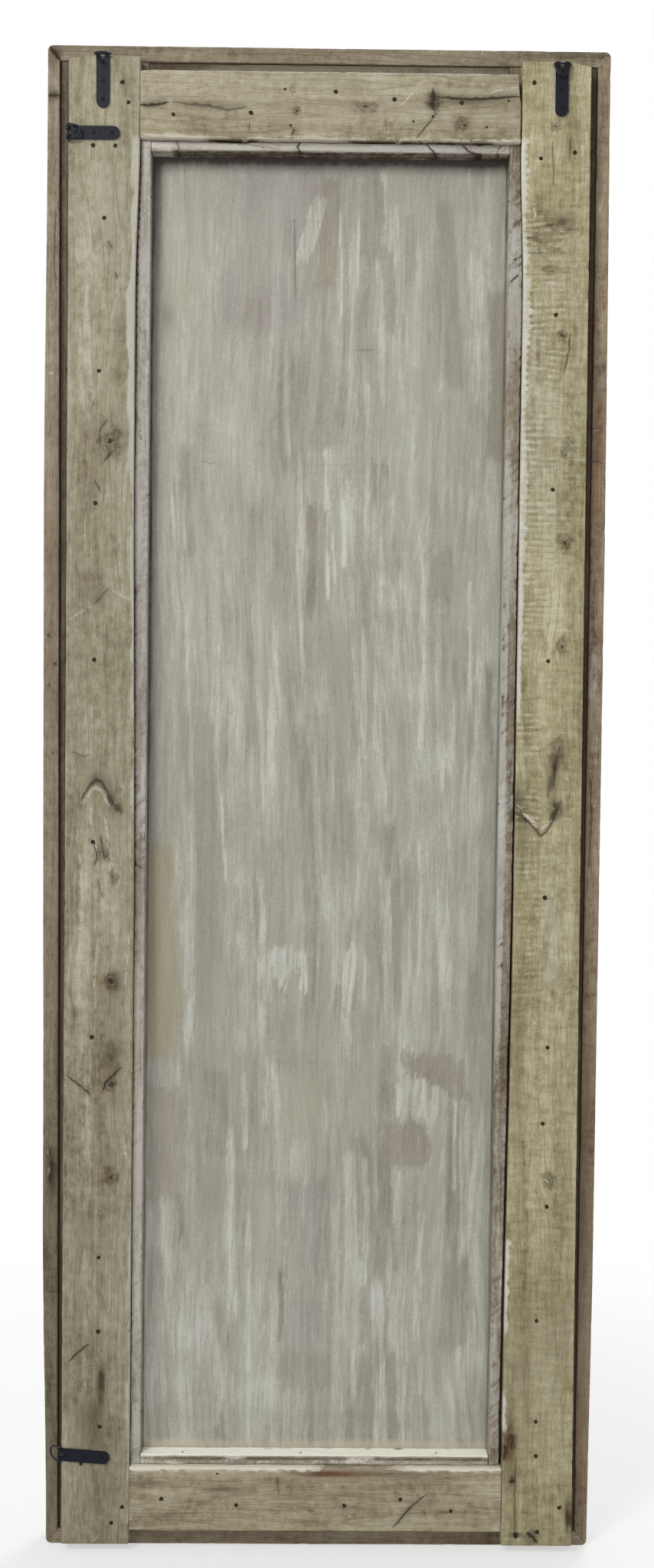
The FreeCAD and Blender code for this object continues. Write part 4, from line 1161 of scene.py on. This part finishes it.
# Strokes that show in the photograph, as (x, z, length, width, slant, bow, tone, hue, warmth): tone is pale
# above 0, hue lilac above 0 and green below
STROKES = [
    (71, 1648, 215, 134, 0.0, 0, -0.2, 1.3, 0.1), (176, 1610, 280, 70, 0.0, 4, 0.15, -0.9, 0.0),
    (-2, 1676, 150, 26, -0.05, 3, -0.9, 0.5, 0.6), (-78, 1604, 110, 16, 0.05, 2, -0.7, 0.5, 0.6),
    (-104, 1655, 90, 14, 0.04, 2, -0.5, 0.5, 0.4), (-156, 1600, 245, 20, 0.077, 3, -1.3, -0.8, 0.0),
    (20, 1680, 84, 22, -0.3, 2, 1.3, 0.4, 0.0), (-17, 1636, 140, 3, 0.02, 1, 1.6, 0, 0),
    (-38, 1640, 130, 3, 0.0, 1, 1.2, 0, 0), (-2, 1326, 230, 4, 0.03, 2, 1.8, 0, 0),
    (-24, 1304, 92, 5, 0.02, 1, 1.6, 0, 0), (16, 1272, 150, 14, 0.0, 2, -0.9, 0.4, 0.5),
    (-148, 1250, 70, 34, 0.0, 3, -0.8, -0.6, 0.0), (-100, 1420, 260, 40, 0.02, 3, 0.5, -0.8, 0.0),
    (120, 1430, 200, 60, 0.0, 3, 0.3, -0.7, 0.0), (10, 1480, 160, 50, 0.05, 4, -0.4, 0.2, 0.3),
    (206, 770, 300, 36, -0.02, 6, -0.2, -0.3, 1.2), (190, 720, 190, 34, 0.03, 8, -0.1, -0.3, 0.9),
    (196, 520, 160, 52, 0.0, 8, -0.7, 0.8, 0.5), (178, 428, 60, 8, 0.1, 3, -1.4, 0.0, 0.0),
    (168, 800, 330, 16, 0.0, 3, 0.7, -0.4, 0.0), (30, 660, 90, 80, 0.0, 6, -0.5, -0.5, 0.0),
    (-40, 660, 70, 22, 0.1, 2, 0.9, 0, 0), (-85, 760, 240, 14, 0.04, 2, 0.8, -0.2, 0),
    (-140, 618, 46, 76, 0.25, 0, -1.0, 0.6, 0.6), (-172, 604, 60, 36, 0.2, 0, -0.7, 0.8, 0.3),
    (-112, 522, 64, 64, 0.0, 5, -1.0, 0.5, 0.6), (-92, 576, 60, 22, 0.3, 2, -0.5, 0.2, 0.2),
    (-160, 540, 110, 9, 0, 1, 1.3, 0, 0), (-174, 520, 120, 6, 0, 1, 1.1, 0, 0),
    (14, 345, 280, 66, 0.0, 5, -0.3, 1.3, 0.0), (48, 310, 96, 7, 0.0, 2, -1.5, 0.3, 0.0),
    (16, 226, 54, 70, 0.0, 3, -0.7, 0.3, 0.0), (112, 420, 260, 12, 0.02, 2, 1.2, 0, 0),
    (90, 330, 220, 8, 0.0, 2, 1.1, 0.2, 0), (-40, 390, 260, 16, 0.0, 2, 0.8, -0.6, 0),
    (-60, 420, 180, 8, 0.0, 2, 1.0, -0.4, 0), (130, 560, 120, 30, 0.0, 4, -0.5, 0.6, 0.2),
    (66, 590, 90, 12, -0.05, 2, 1.0, 0, 0), (96, 560, 110, 8, 0.03, 2, 1.0, 0, 0),
    (-190, 1560, 200, 16, 0.03, 3, 0.8, -0.2, 0.2), (-200, 1690, 90, 30, 0.0, 3, 0.5, -0.2, 0.2),
    (-198, 1040, 230, 14, 0.0, 2, 0.7, -0.3, 0), (-180, 1010, 200, 10, 0.01, 2, 0.6, -0.2, 0),
    (-192, 850, 220, 16, 0.0, 2, 0.5, -0.3, 0), (-186, 470, 210, 12, 0.0, 2, 0.7, -0.2, 0),
    (-202, 450, 200, 12, 0.0, 2, 0.6, -0.2, 0), (-56, 1694, 110, 30, -0.03, 2, -0.9, 0.3, 0.4),
]
# Rows of pale drips below a curved line, as (from x, to x, top of the middle, fall of the ends, mean length)
DRIPS = [(80, 18, 778, 10, 44), (-14, -60, 782, 22, 66), (-100, -152, 612, 16, 58)]
DRIP_PITCH = 5.5
# The first strokes at random are wide, and the others thin
LAST_WIDE = 190
RANDOM_STROKES = 390


def brush(timber, paint, seed, x, z, length, width, slant, bow, tone, hue, warmth):
    """Lays one stroke of thin paint over what is there. Sizes are in millimetres."""
    along = timber.length - z * MM
    run = along / (0.5 * length * MM)
    middle = x * MM + slant * along + bow * MM * run ** 2
    off = (timber.across - middle) / (0.5 * width * MM)
    on = (np.abs(run) < 1.3) & (np.abs(off) < 1.3)
    off, run = off[on], run[on]
    grid = np.stack([off * width, np.zeros_like(off), run * length], axis=-1)
    bristle = noise(grid, (4, 1, 70), seed)
    ragged = noise(grid, (9, 1, 16), seed + 1)
    side = smooth(np.abs(off) + 0.15 * ragged, 1.05, 0.8)
    ends = smooth(np.abs(run) + (0.25 * bristle + 0.1 * ragged) * min(1.0, 60 / length), 1.0, 0.86)
    alpha = side * ends * (0.72 + 0.28 * bristle)
    paint[on] += (np.array([tone, hue, warmth]) - paint[on]) * alpha[:, None]


def brushwork(timber):
    """The whole coat: many strokes at random, then those that show in the photograph."""
    rng = np.random.default_rng(7)
    paint = np.zeros(timber.points.shape)
    for k in range(RANDOM_STROKES):
        thin = k > LAST_WIDE
        width = rng.uniform(4, 9) if thin else rng.uniform(8, 50)
        length = rng.uniform(90, 330) if thin else rng.uniform(130, 460)
        tone = rng.normal(0.3, 0.32) if thin else min(0.7, rng.normal(0, 0.6))
        x, z = rng.uniform(-225, 225), rng.uniform(110, 1780)
        slant, bow = rng.normal(0.015, 0.035), rng.normal(0, 5)
        hue, warmth = rng.normal(-0.25, 0.5), max(0.0, rng.normal(-0.2, 0.3))
        brush(timber, paint, 3 * k, x, z, length, width, slant, bow, tone, hue, warmth)
    drips = []
    for start, stop, top, fall, mean in DRIPS:
        middle, half = 0.5 * (start + stop), 0.5 * (start - stop)
        for x in np.arange(start, stop, -DRIP_PITCH):
            length = mean * rng.uniform(0.4, 1.4)
            head = top - fall * ((x - middle) / half) ** 2 + rng.normal(0, 3)
            width, slant, tone = rng.uniform(4, 9), rng.normal(0, 0.05), rng.uniform(0.7, 1.6)
            drips.append((x, head - 0.5 * length, length, width, slant, 1, tone, 0, 0))
    for k, stroke in enumerate(STROKES + drips):
        brush(timber, paint, 1000 + 3 * k, *stroke)
    return paint


def backing_panel():
    """The washed board behind the glass, shaded by the beads round it."""
    timber, _ = straight_board(
        "backing_panel", UPRIGHT, 4.2 * MM, PANEL_STEPS, 61, arris=0.6 * MM, chipping=0.0, suffix="_board"
    )
    timber.weather(0.25 * MM, 0.12 * MM)
    timber.carve(0.15 * MM * (0.5 + 0.5 * timber.lumps(7, 7, 260, 63)))
    timber.add_lines(PANEL_CRACKS)
    from_left = edge_at("bead_left", 0, timber.length) - timber.across
    from_right = timber.across - edge_at("bead_right", 1, timber.length)
    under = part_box("bead_top")[0].z - timber.length
    above = timber.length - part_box("bead_bottom")[1].z
    # darker beside the left bead in the upper part, then painted shade in the corners along both beads, and a
    # painted shadow under the upper bead
    timber.add_stain_and_painted_light(0.5 * smooth(from_left, 14 * MM, 2 * MM) * smooth(timber.length, 0.7, 1.1))
    timber.add_stain_and_painted_light(0.7 * smooth(np.minimum(from_left, from_right), 3.5 * MM, 0.5 * MM))
    timber.add_stain_and_painted_light(0.24 * smooth(under, 150 * MM, 20 * MM) + 0.4 * smooth(under, 26 * MM, 2 * MM))
    timber.add_stain_and_painted_light(0.9 * smooth(under, 7 * MM, 1.5 * MM))
    timber.add_wash(0.75 * smooth(above, 18 * MM, 2 * MM))
    timber.add_stains(PANEL_STAINS)
    ruled = np.sin(timber.length * (2 * math.pi / RULED_PITCH) + 1.5 * timber.lumps(60, 60, 30, 64))
    timber.add_stain_and_painted_light(0.3 * ruled * timber.spot(*RULED_PATCH))
    paint = brushwork(timber)
    paint[..., 0] += 0.35 * smooth(timber.length, 0.5, 0.3)
    # painted light: paler paint beside the left bead in the lower half, against the shadow that bead casts
    paint[..., 0] += 0.9 * smooth(from_left, 16 * MM, 3 * MM) * smooth(timber.length, 0.8, 0.55)
    put(timber.piece(PANEL, "panel_wood").data, "paint", paint)


# Edge band

BAND_STEPS = (9, 12, 9, 12)
CORNER_RADIUS = 9 * MM
# Heights between which the side strips swell, and where they are darker towards the foot
SWELL_RUN = (0.02, 0.4, 1.3, 1.88)
BAND_DARK = (1.3, 0.3)
BAND_MARKS = {
    "edge_band_left": {
        "cracks": [
            (4.0, 0.9, [(347, 1896), (340, 1888), (334, 1881)]),
            (2.0, 0.6, [(349, 1838), (341, 1838), (333, 1838)]), (1.4, 0.3, [(348, 330), (334, 330)]),
            (1.6, 0.5, [(346, 520), (342, 490), (345, 470)]),
            (1.6, 0.3, [(339, 1700), (341, 1640), (338, 1600)]), (2.4, 0.5, [(350, 1170), (345, 1168)]),
            (2.2, 0.6, [(341, 1135), (337, 1133)]), (2.0, 0.4, [(349, 1107), (345, 1107)]),
            (1.8, 0.5, [(342, 1023), (341, 1021)]),
        ],
        "torn": [
            (2.0, -0.2, [(349, 1497), (341, 1497)]), (1.6, -0.1, [(346, 516), (348, 508)]),
            (1.6, -0.1, [(345, 492), (347, 484)]),
        ],
        "stains": [
            (345, 1838, 8, 14, 0.5), (345, 1880, 8, 14, 0.5), (342, 480, 8, 40, 0.5),
            (342, 1100, 8, 120, 0.2),
        ],
        "bare": [(342, 1300, 9, 120, 0.35), (342, 1150, 9, 60, 0.3), (342, 760, 9, 80, 0.2)],
    },
    "edge_band_right": {
        "cracks": [
            (1.6, 0.3, [(-338, 1000), (-341, 940), (-338, 880)]), (1.4, 0.3, [(-335, 1395), (-349, 1392)]),
        ],
        "torn": [
            (1.8, -0.2, [(-336, 1708), (-341, 1708)]), (1.8, -0.2, [(-336, 1433), (-342, 1433)]),
            (1.6, -0.2, [(-346, 1060), (-345, 1010)]), (1.6, -0.2, [(-338, 955), (-346, 962)]),
        ],
        "stains": [
            (-342, 1100, 12, 200, -0.2), (-342, 450, 9, 260, 0.2), (-341, 1125, 6, 40, -0.5),
            (-343, 760, 6, 60, -0.4), (-341, 1500, 6, 60, -0.3),
        ],
        "bare": [
            (-342, 1180, 9, 60, 0.15), (-341, 930, 9, 80, 0.1), (-341, 1400, 9, 100, 0.4),
            (-340, 560, 9, 80, 0.35), (-340, 420, 9, 60, 0.4),
        ],
    },
    "edge_band_top": {
        "cracks": [
            (1.2, 0.1, [(150, 1890), (60, 1892), (-40, 1890)]),
            (4.0, 0.9, [(346, 1897), (339, 1888), (333, 1881)]),
        ],
        "torn": [
            (2.2, -0.3, [(-189, 1899), (-190, 1894)]),
            (2.0, -0.2, [(-347, 1897), (-340, 1888), (-333, 1880)]),
        ],
        "stains": [(345, 1890, 12, 10, 0.7)],
        "bare": [(60, 1890, 120, 12, 0.2), (-160, 1890, 80, 12, 0.25)],
    },
    "edge_band_bottom": {
        "stains": [(0, 10, 400, 14, -0.15)],
        "bare": [(100, 10, 120, 14, 0.25), (-120, 10, 100, 14, 0.2)],
    },
}


def edge_band(node, turn, outer, seed, wood, gap=1.1 * MM, swell=0.0):
    """One strip of the edge band, mitred at both ends and rounded at the frame's corners.

    outer is the sign of its outer side, gap the dark line left between it and the face boards, and swell
    how much wider it is half way."""
    low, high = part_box(node)
    a, b = low[turn[0]], high[turn[0]]
    inner_place, outer_place = (a, b) if outer > 0 else (b, a)
    a, b = (a + gap, b) if outer > 0 else (a, b - gap)
    start, stop = cad_low[turn[2]], cad_high[turn[2]]
    along = stations(start, stop, 4 * MM, 0.7 * MM)
    corners = outline(along, [(a, low.y), (b, low.y), (b, high.y), (a, high.y)])
    cut = worn_corners(along, seed, 9, 1.8 * MM, 0.7)
    timber = Timber(node, turn, along, corners, BAND_STEPS, cut, seed, ease=0.7 * MM)
    timber.weather(0.5 * MM, 0.16 * MM)
    # the mitre: the inner edge is shorter than the outer one by the width of the strips it meets
    middle, half = 0.5 * (start + stop), 0.5 * (stop - start)
    share = np.clip((timber.across - inner_place) / (outer_place - inner_place), 0, 1)
    timber.points[..., 2] = middle + (timber.length - middle) * (half - band_width(turn) * (1 - share)) / half
    round_corner(timber, outer_place, outer, middle, half)
    timber.points[..., 0] += outer * swell * share * between(timber.length, *SWELL_RUN)
    timber.mark(**BAND_MARKS[node])
    if turn == UPRIGHT:
        timber.add_stain_and_painted_light(0.3 * smooth(timber.length, *BAND_DARK))
    timber.piece(wood, "edge_wood")


def band_width(turn):
    """Width of the strips that meet one which lies this way."""
    low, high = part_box("edge_band_top" if turn == UPRIGHT else "edge_band_left")
    return high[turn[2]] - low[turn[2]]


def round_corner(timber, outer_place, outer, middle, half):
    """Brings what stands outside the frame's rounded corners back to them."""
    beyond_a = (timber.across - outer_place) * outer + CORNER_RADIUS
    beyond_l = np.abs(timber.length - middle) - half + CORNER_RADIUS
    far = np.hypot(beyond_a, beyond_l)
    outside = (beyond_a > 0) & (beyond_l > 0) & (far > CORNER_RADIUS)
    pull = np.where(outside, CORNER_RADIUS / np.maximum(far, 1e-9), 1.0)
    timber.points[..., 0] += outer * beyond_a * (pull - 1)
    timber.points[..., 2] += np.sign(timber.length - middle) * beyond_l * (pull - 1)


# Face boards

# Steps on the sides of a face board: front, rim, back, rebate wall, lip, sight edge and chamfer
FACE_STEPS = (26, 8, 26, 8, 5, 4, 3)
CHAMFER = 4 * MM
# Share of the chamfer that is left where a stile meets a rail
CHAMFER_STOP = 0.12
JOINT_GAP = 0.25 * MM
RIM_GAP = 0.6 * MM
GLASS_GAP = 0.5 * MM
NO_REBATE = 0.1 * MM


def face_board(node, turn, outer, seed, shade):
    """A front board: chamfered at the sight edge, with a rebate behind its lip for the glass.

    outer is the sign of its outer side, and shade lays painted shade, and on some boards a dark line along
    the band, on its back."""
    low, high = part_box(node)
    glass_low, glass_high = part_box("mirror_glass")
    start, stop = low[turn[2]], high[turn[2]]
    if turn == LYING:
        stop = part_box("face_stile_left")[0].x - JOINT_GAP
        start = -stop
    along = stations(start, stop, 4 * MM, 0.6 * MM)
    a, b = low[turn[0]], high[turn[0]]
    sight, rim = (a, b) if outer > 0 else (b, a)
    rim -= outer * RIM_GAP
    run = np.ones(along.shape)
    if turn == UPRIGHT:
        foot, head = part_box("face_rail_bottom")[1].z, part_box("face_rail_top")[0].z
        run = between(along, foot - CHAMFER, foot, head, head + CHAMFER)
    bevel = CHAMFER * np.maximum(run, CHAMFER_STOP)
    rebated = (along > glass_low[turn[2]] - 2 * MM) & (along < glass_high[turn[2]] + 4 * MM)
    glass_edge = (glass_high if outer > 0 else glass_low)[turn[0]] + outer * GLASS_GAP
    wall = np.where(rebated, glass_edge, sight + outer * NO_REBATE)
    lip = glass_low.y
    rows = [
        (sight + outer * bevel, low.y), (rim, low.y), (rim, high.y), (wall, high.y), (wall, lip),
        (sight, lip), (sight, low.y + bevel),
    ]
    counts = FACE_STEPS
    if outer < 0:
        rows = rows[::-1]
        counts = FACE_STEPS[-2::-1] + FACE_STEPS[-1:]
    corners = outline(along, rows)
    cut = np.full(corners.shape[:2], 0.35 * MM)
    timber = Timber(node, turn, along, corners, counts, cut, seed, ease=0.4 * MM)
    timber.weather(0.3 * MM, 0.12 * MM)
    shade(timber, rim, smooth(timber.depth, high.y - 4 * MM, high.y - 1 * MM))
    timber.piece(WOOD["face"], "face_wood")


def shade_at_rim(timber, rim, back):
    """Painted shade on the back, which lies in a recess: darker towards both ends, with a dark line along the
    edge band.
    """
    ends = smooth(timber.length, 0.13, 0.2) + 0.5 * smooth(timber.length, -0.17, -0.21)
    timber.add_stain_and_painted_light(back * (0.15 + 0.6 * ends + 0.5 * smooth(np.abs(timber.across - rim), 7 * MM, 1 * MM)))


def shade_left(timber, rim, back):
    """Painted shade in the recess where the strip shows, dark beside the stile and at the joint with the band
    with grey wood between, and less under the stile.
    """
    beside = timber.across - edge_at("back_stile_left", 1, timber.length)
    shown = back * smooth(beside, -8 * MM, -4 * MM)
    dark = 0.65 + smooth(beside, 3.5 * MM, 1 * MM) + 0.8 * smooth(rim - timber.across, 3 * MM, 0.5 * MM)
    timber.add_stain_and_painted_light(shown * dark + 0.45 * (back - shown))


def shade_right(timber, rim, back):
    """Painted shadow of the stile, very dark where the strip shows beside it, and less under it."""
    beside = edge_at("back_stile_right", 0, timber.length) - timber.across
    shown = back * smooth(beside, -8 * MM, -4 * MM)
    uneven = 1.2 + 0.7 * timber.lumps(7, 7, 34, 94)
    timber.add_stain_and_painted_light(uneven * shown + 0.35 * (back - shown))


def boards():
    back_stiles()
    top_rail()
    bottom_rail()
    side_bead("bead_left", 67, WOOD["bead"], 0.7 * MM, 0.5, gap_dark=0.85, low_pale=0.62)
    side_bead("bead_right", 73, WOOD["bead_right"], 0.8 * MM, 0.3, gap_dark=0.3, low_pale=0.36)
    top_bead()
    bottom_bead()
    backing_panel()
    edge_band("edge_band_top", LYING, 1, 81, WOOD["band"])
    edge_band("edge_band_bottom", LYING, -1, 83, WOOD["band"])
    edge_band("edge_band_left", UPRIGHT, 1, 87, WOOD["band"], swell=4.5 * MM)
    edge_band("edge_band_right", UPRIGHT, -1, 89, WOOD["band_right"], gap=0.2 * MM, swell=2.5 * MM)
    face_board("face_stile_left", UPRIGHT, 1, 91, shade_left)
    face_board("face_stile_right", UPRIGHT, -1, 93, shade_right)
    face_board("face_rail_top", LYING, 1, 95, shade_at_rim)
    face_board("face_rail_bottom", LYING, -1, 97, shade_at_rim)


# Nails, brads and pins

NAIL_SIDES = 12
# A head from its top down, as (share of its radius, depth in millimetres)
HEAD_ROWS = ((0.45, 0.0), (0.75, 0.08), (0.93, 0.24), (1.0, 0.5), (0.95, 0.9))
UNDER_HEAD = 1.1
HEAD_PROUD = 0.85
# The end of the nail in which its head is looked for
HEAD_ZONE = 1 * MM
SHARP_IRON = math.radians(60)
# A direction that no nail has
ASLANT = (0.3, 0.2, 0.9)


def loose_parts(node):
    """The corner points of each separate solid in a node."""
    mesh = NODES[node].data
    group = list(range(len(mesh.vertices)))

    def root(k):
        while group[k] != k:
            group[k] = group[group[k]]
            k = group[k]
        return k

    spots = {}
    for v in mesh.vertices:
        key = tuple(round(c * 1e6) for c in v.co)
        group[v.index] = spots.setdefault(key, v.index)
    for a, b in (e.vertices for e in mesh.edges):
        group[root(a)] = root(b)
    parts = {}
    for v in mesh.vertices:
        parts.setdefault(root(v.index), []).append(v.co)
    return [np.array(p) for p in parts.values()]


def hammered_nails(node, seed):
    """Nails with uneven hammered heads where the frame has its own, standing slightly proud."""
    rng = np.random.default_rng(seed)
    points, faces = [], []
    for part in loose_parts(node):
        middle = part.mean(0)
        axis = np.linalg.svd(part - middle, full_matrices=False)[2][0]
        run = (part - middle) @ axis
        off = np.linalg.norm(part - middle - run[:, None] * axis, axis=1)
        if off[run > run.max() - HEAD_ZONE].max() < off[run < run.min() + HEAD_ZONE].max():
            axis, run = -axis, -run
        head = off.max()
        shank = min(np.median(off), 0.5 * head)
        side = unit(np.cross(axis, ASLANT))
        other = np.cross(axis, side)
        top, tip = run.max() + HEAD_PROUD * MM, run.min()
        lean = rng.normal(0, 0.06, 2)
        lobes = 1 + 0.10 * rng.normal(0, 1, NAIL_SIDES)
        head *= rng.uniform(1.0, 1.2)
        rings = [(head * r, top - d * MM) for r, d in HEAD_ROWS]
        rings += [(shank, top - UNDER_HEAD * MM), (shank, tip + 2 * shank), (0.15 * shank, tip)]
        first = len(points)
        for k, (radius, height) in enumerate(rings):
            for n in range(NAIL_SIDES):
                turn = 2 * math.pi * n / NAIL_SIDES
                u, v = radius * lobes[n] * math.cos(turn), radius * lobes[n] * math.sin(turn)
                tilt = (u * lean[0] + v * lean[1]) if k <= len(HEAD_ROWS) else 0.0
                points.append(middle + side * u + other * v + axis * (height + tilt))
        for k in range(len(rings) - 1):
            for n in range(NAIL_SIDES):
                a, b = first + k * NAIL_SIDES + n, first + k * NAIL_SIDES + (n + 1) % NAIL_SIDES
                faces.append((a, a + NAIL_SIDES, b + NAIL_SIDES, b))
        last = first + (len(rings) - 1) * NAIL_SIDES
        faces.append(tuple(range(first, first + NAIL_SIDES)))
        faces.append(tuple(reversed(range(last, last + NAIL_SIDES))))
    mesh = bpy.data.meshes.new(node + "_heads")
    mesh.from_pydata([tuple(p) for p in points], [], faces)
    place(node + "_hammered", mesh, SHARP_IRON, NAIL, "nail_iron", node)


def fixings():
    for k, node in enumerate(("frame_nails", "rail_brads", "bead_pins", "edge_brads")):
        hammered_nails(node, 100 + k)


# Hangers and glass

def dress(node, finish):
    """Gives a CAD node its finish."""
    data = NODES[node].data
    data.materials.clear()
    data.materials.append(finish)
    for polygon in data.polygons:
        polygon.material_index = 0


def hardware():
    for where in ("top_left", "top_right", "side_upper", "side_lower"):
        dress("hanger_strap_" + where, STRAP)
        dress("hanger_ring_" + where, WIRE)
    dress("hanger_screws", SCREW)
    dress("mirror_glass", GLASS)


# Stage, light and camera

CAMERA_PLACE = Vector((11.5, 1915.1, 1064.6)) * MM
CAMERA_TURN = (87.612, -0.523, 179.532)
CAMERA_LENS = 34.43
SENSOR_WIDTH = 36.0
# What the white surroundings give as light
SKY_LIGHT = 0.55
FLOOR_COLOUR = (0.86, 0.86, 0.86, 1)
FLOOR_RADIUS = 6
FLOOR_BELOW = 0.4 * MM
# The floor turns white between these distances, from this share near the object
FLOOR_FADE = (0.45, 1.3, 0.55, 1.0)
AIM = Vector((0, 0, 1.0))


def white_seen(g):
    """1 for what the camera, gloss and glass see, and 0 for the rays that light the object."""
    rays = g.node("ShaderNodeLightPath").outputs
    seen = rays["Is Camera Ray"]
    for key in ("Is Glossy Ray", "Is Transmission Ray"):
        seen = g.math("ADD", seen, rays[key], clamp=True)
    return seen


def stage():
    """White surroundings, and a pale floor that keeps the shadow near the object."""
    bpy.context.scene.world = bpy.data.worlds.new("studio")
    g = Graph(bpy.context.scene.world)
    sky = g.tree.nodes["Background"].inputs
    strength = g.node("ShaderNodeMapRange", {0: white_seen(g), 3: SKY_LIGHT, 4: 1.0}).outputs[0]
    g.feed(sky["Color"], (1, 1, 1, 1))
    g.feed(sky["Strength"], strength)

    g = material("floor_pale")
    for key, value in (("Base Color", FLOOR_COLOUR), ("Roughness", 0.9), ("Specular IOR Level", 0.1)):
        g.feed(g.shader.inputs[key], value)
    glow = g.node("ShaderNodeEmission")
    far = g.node("ShaderNodeVectorMath", {0: g.place}, operation="LENGTH").outputs["Value"]
    white = g.times(g.step(far, *FLOOR_FADE), white_seen(g))
    mix = g.node("ShaderNodeMixShader", {0: white, 1: g.shader.outputs[0], 2: glow.outputs[0]})
    g.feed(g.tree.nodes["Material Output"].inputs["Surface"], mix.outputs[0])
    bpy.ops.mesh.primitive_circle_add(
        vertices=96, radius=FLOOR_RADIUS, fill_type="NGON", location=(0, 0, -FLOOR_BELOW)
    )
    floor = bpy.context.object
    floor.name = "floor"
    floor.data.materials.append(g.owner)


def lamp(name, location, size, watts):
    """A round soft light, aimed at the middle of the object."""
    data = bpy.data.lights.new(name, "AREA")
    data.shape, data.size, data.energy = "DISK", size, watts
    made = bpy.data.objects.new(name, data)
    made.location = location
    made.rotation_euler = (AIM - Vector(location)).to_track_quat("-Z", "Y").to_euler()
    bpy.context.scene.collection.objects.link(made)


def lights_and_camera():
    """Two lamps, and the camera that was fitted to the frame's corners in the photograph."""
    lamp("key", (1.7, 2.3, 3.2), 1.3, 62)
    lamp("front", (-1.4, -2.6, 2.8), 1.8, 60)
    data = bpy.data.cameras.new("camera")
    data.lens, data.sensor_width, data.clip_end = CAMERA_LENS, SENSOR_WIDTH, 50
    camera = bpy.data.objects.new("camera", data)
    camera.location = CAMERA_PLACE
    camera.rotation_euler = [math.radians(a) for a in CAMERA_TURN]
    bpy.context.scene.collection.objects.link(camera)
    bpy.context.scene.camera = camera
    bpy.context.scene.view_settings.view_transform = "Standard"


boards()
fixings()
hardware()
stage()
lights_and_camera()

bpy.context.view_layer.update()
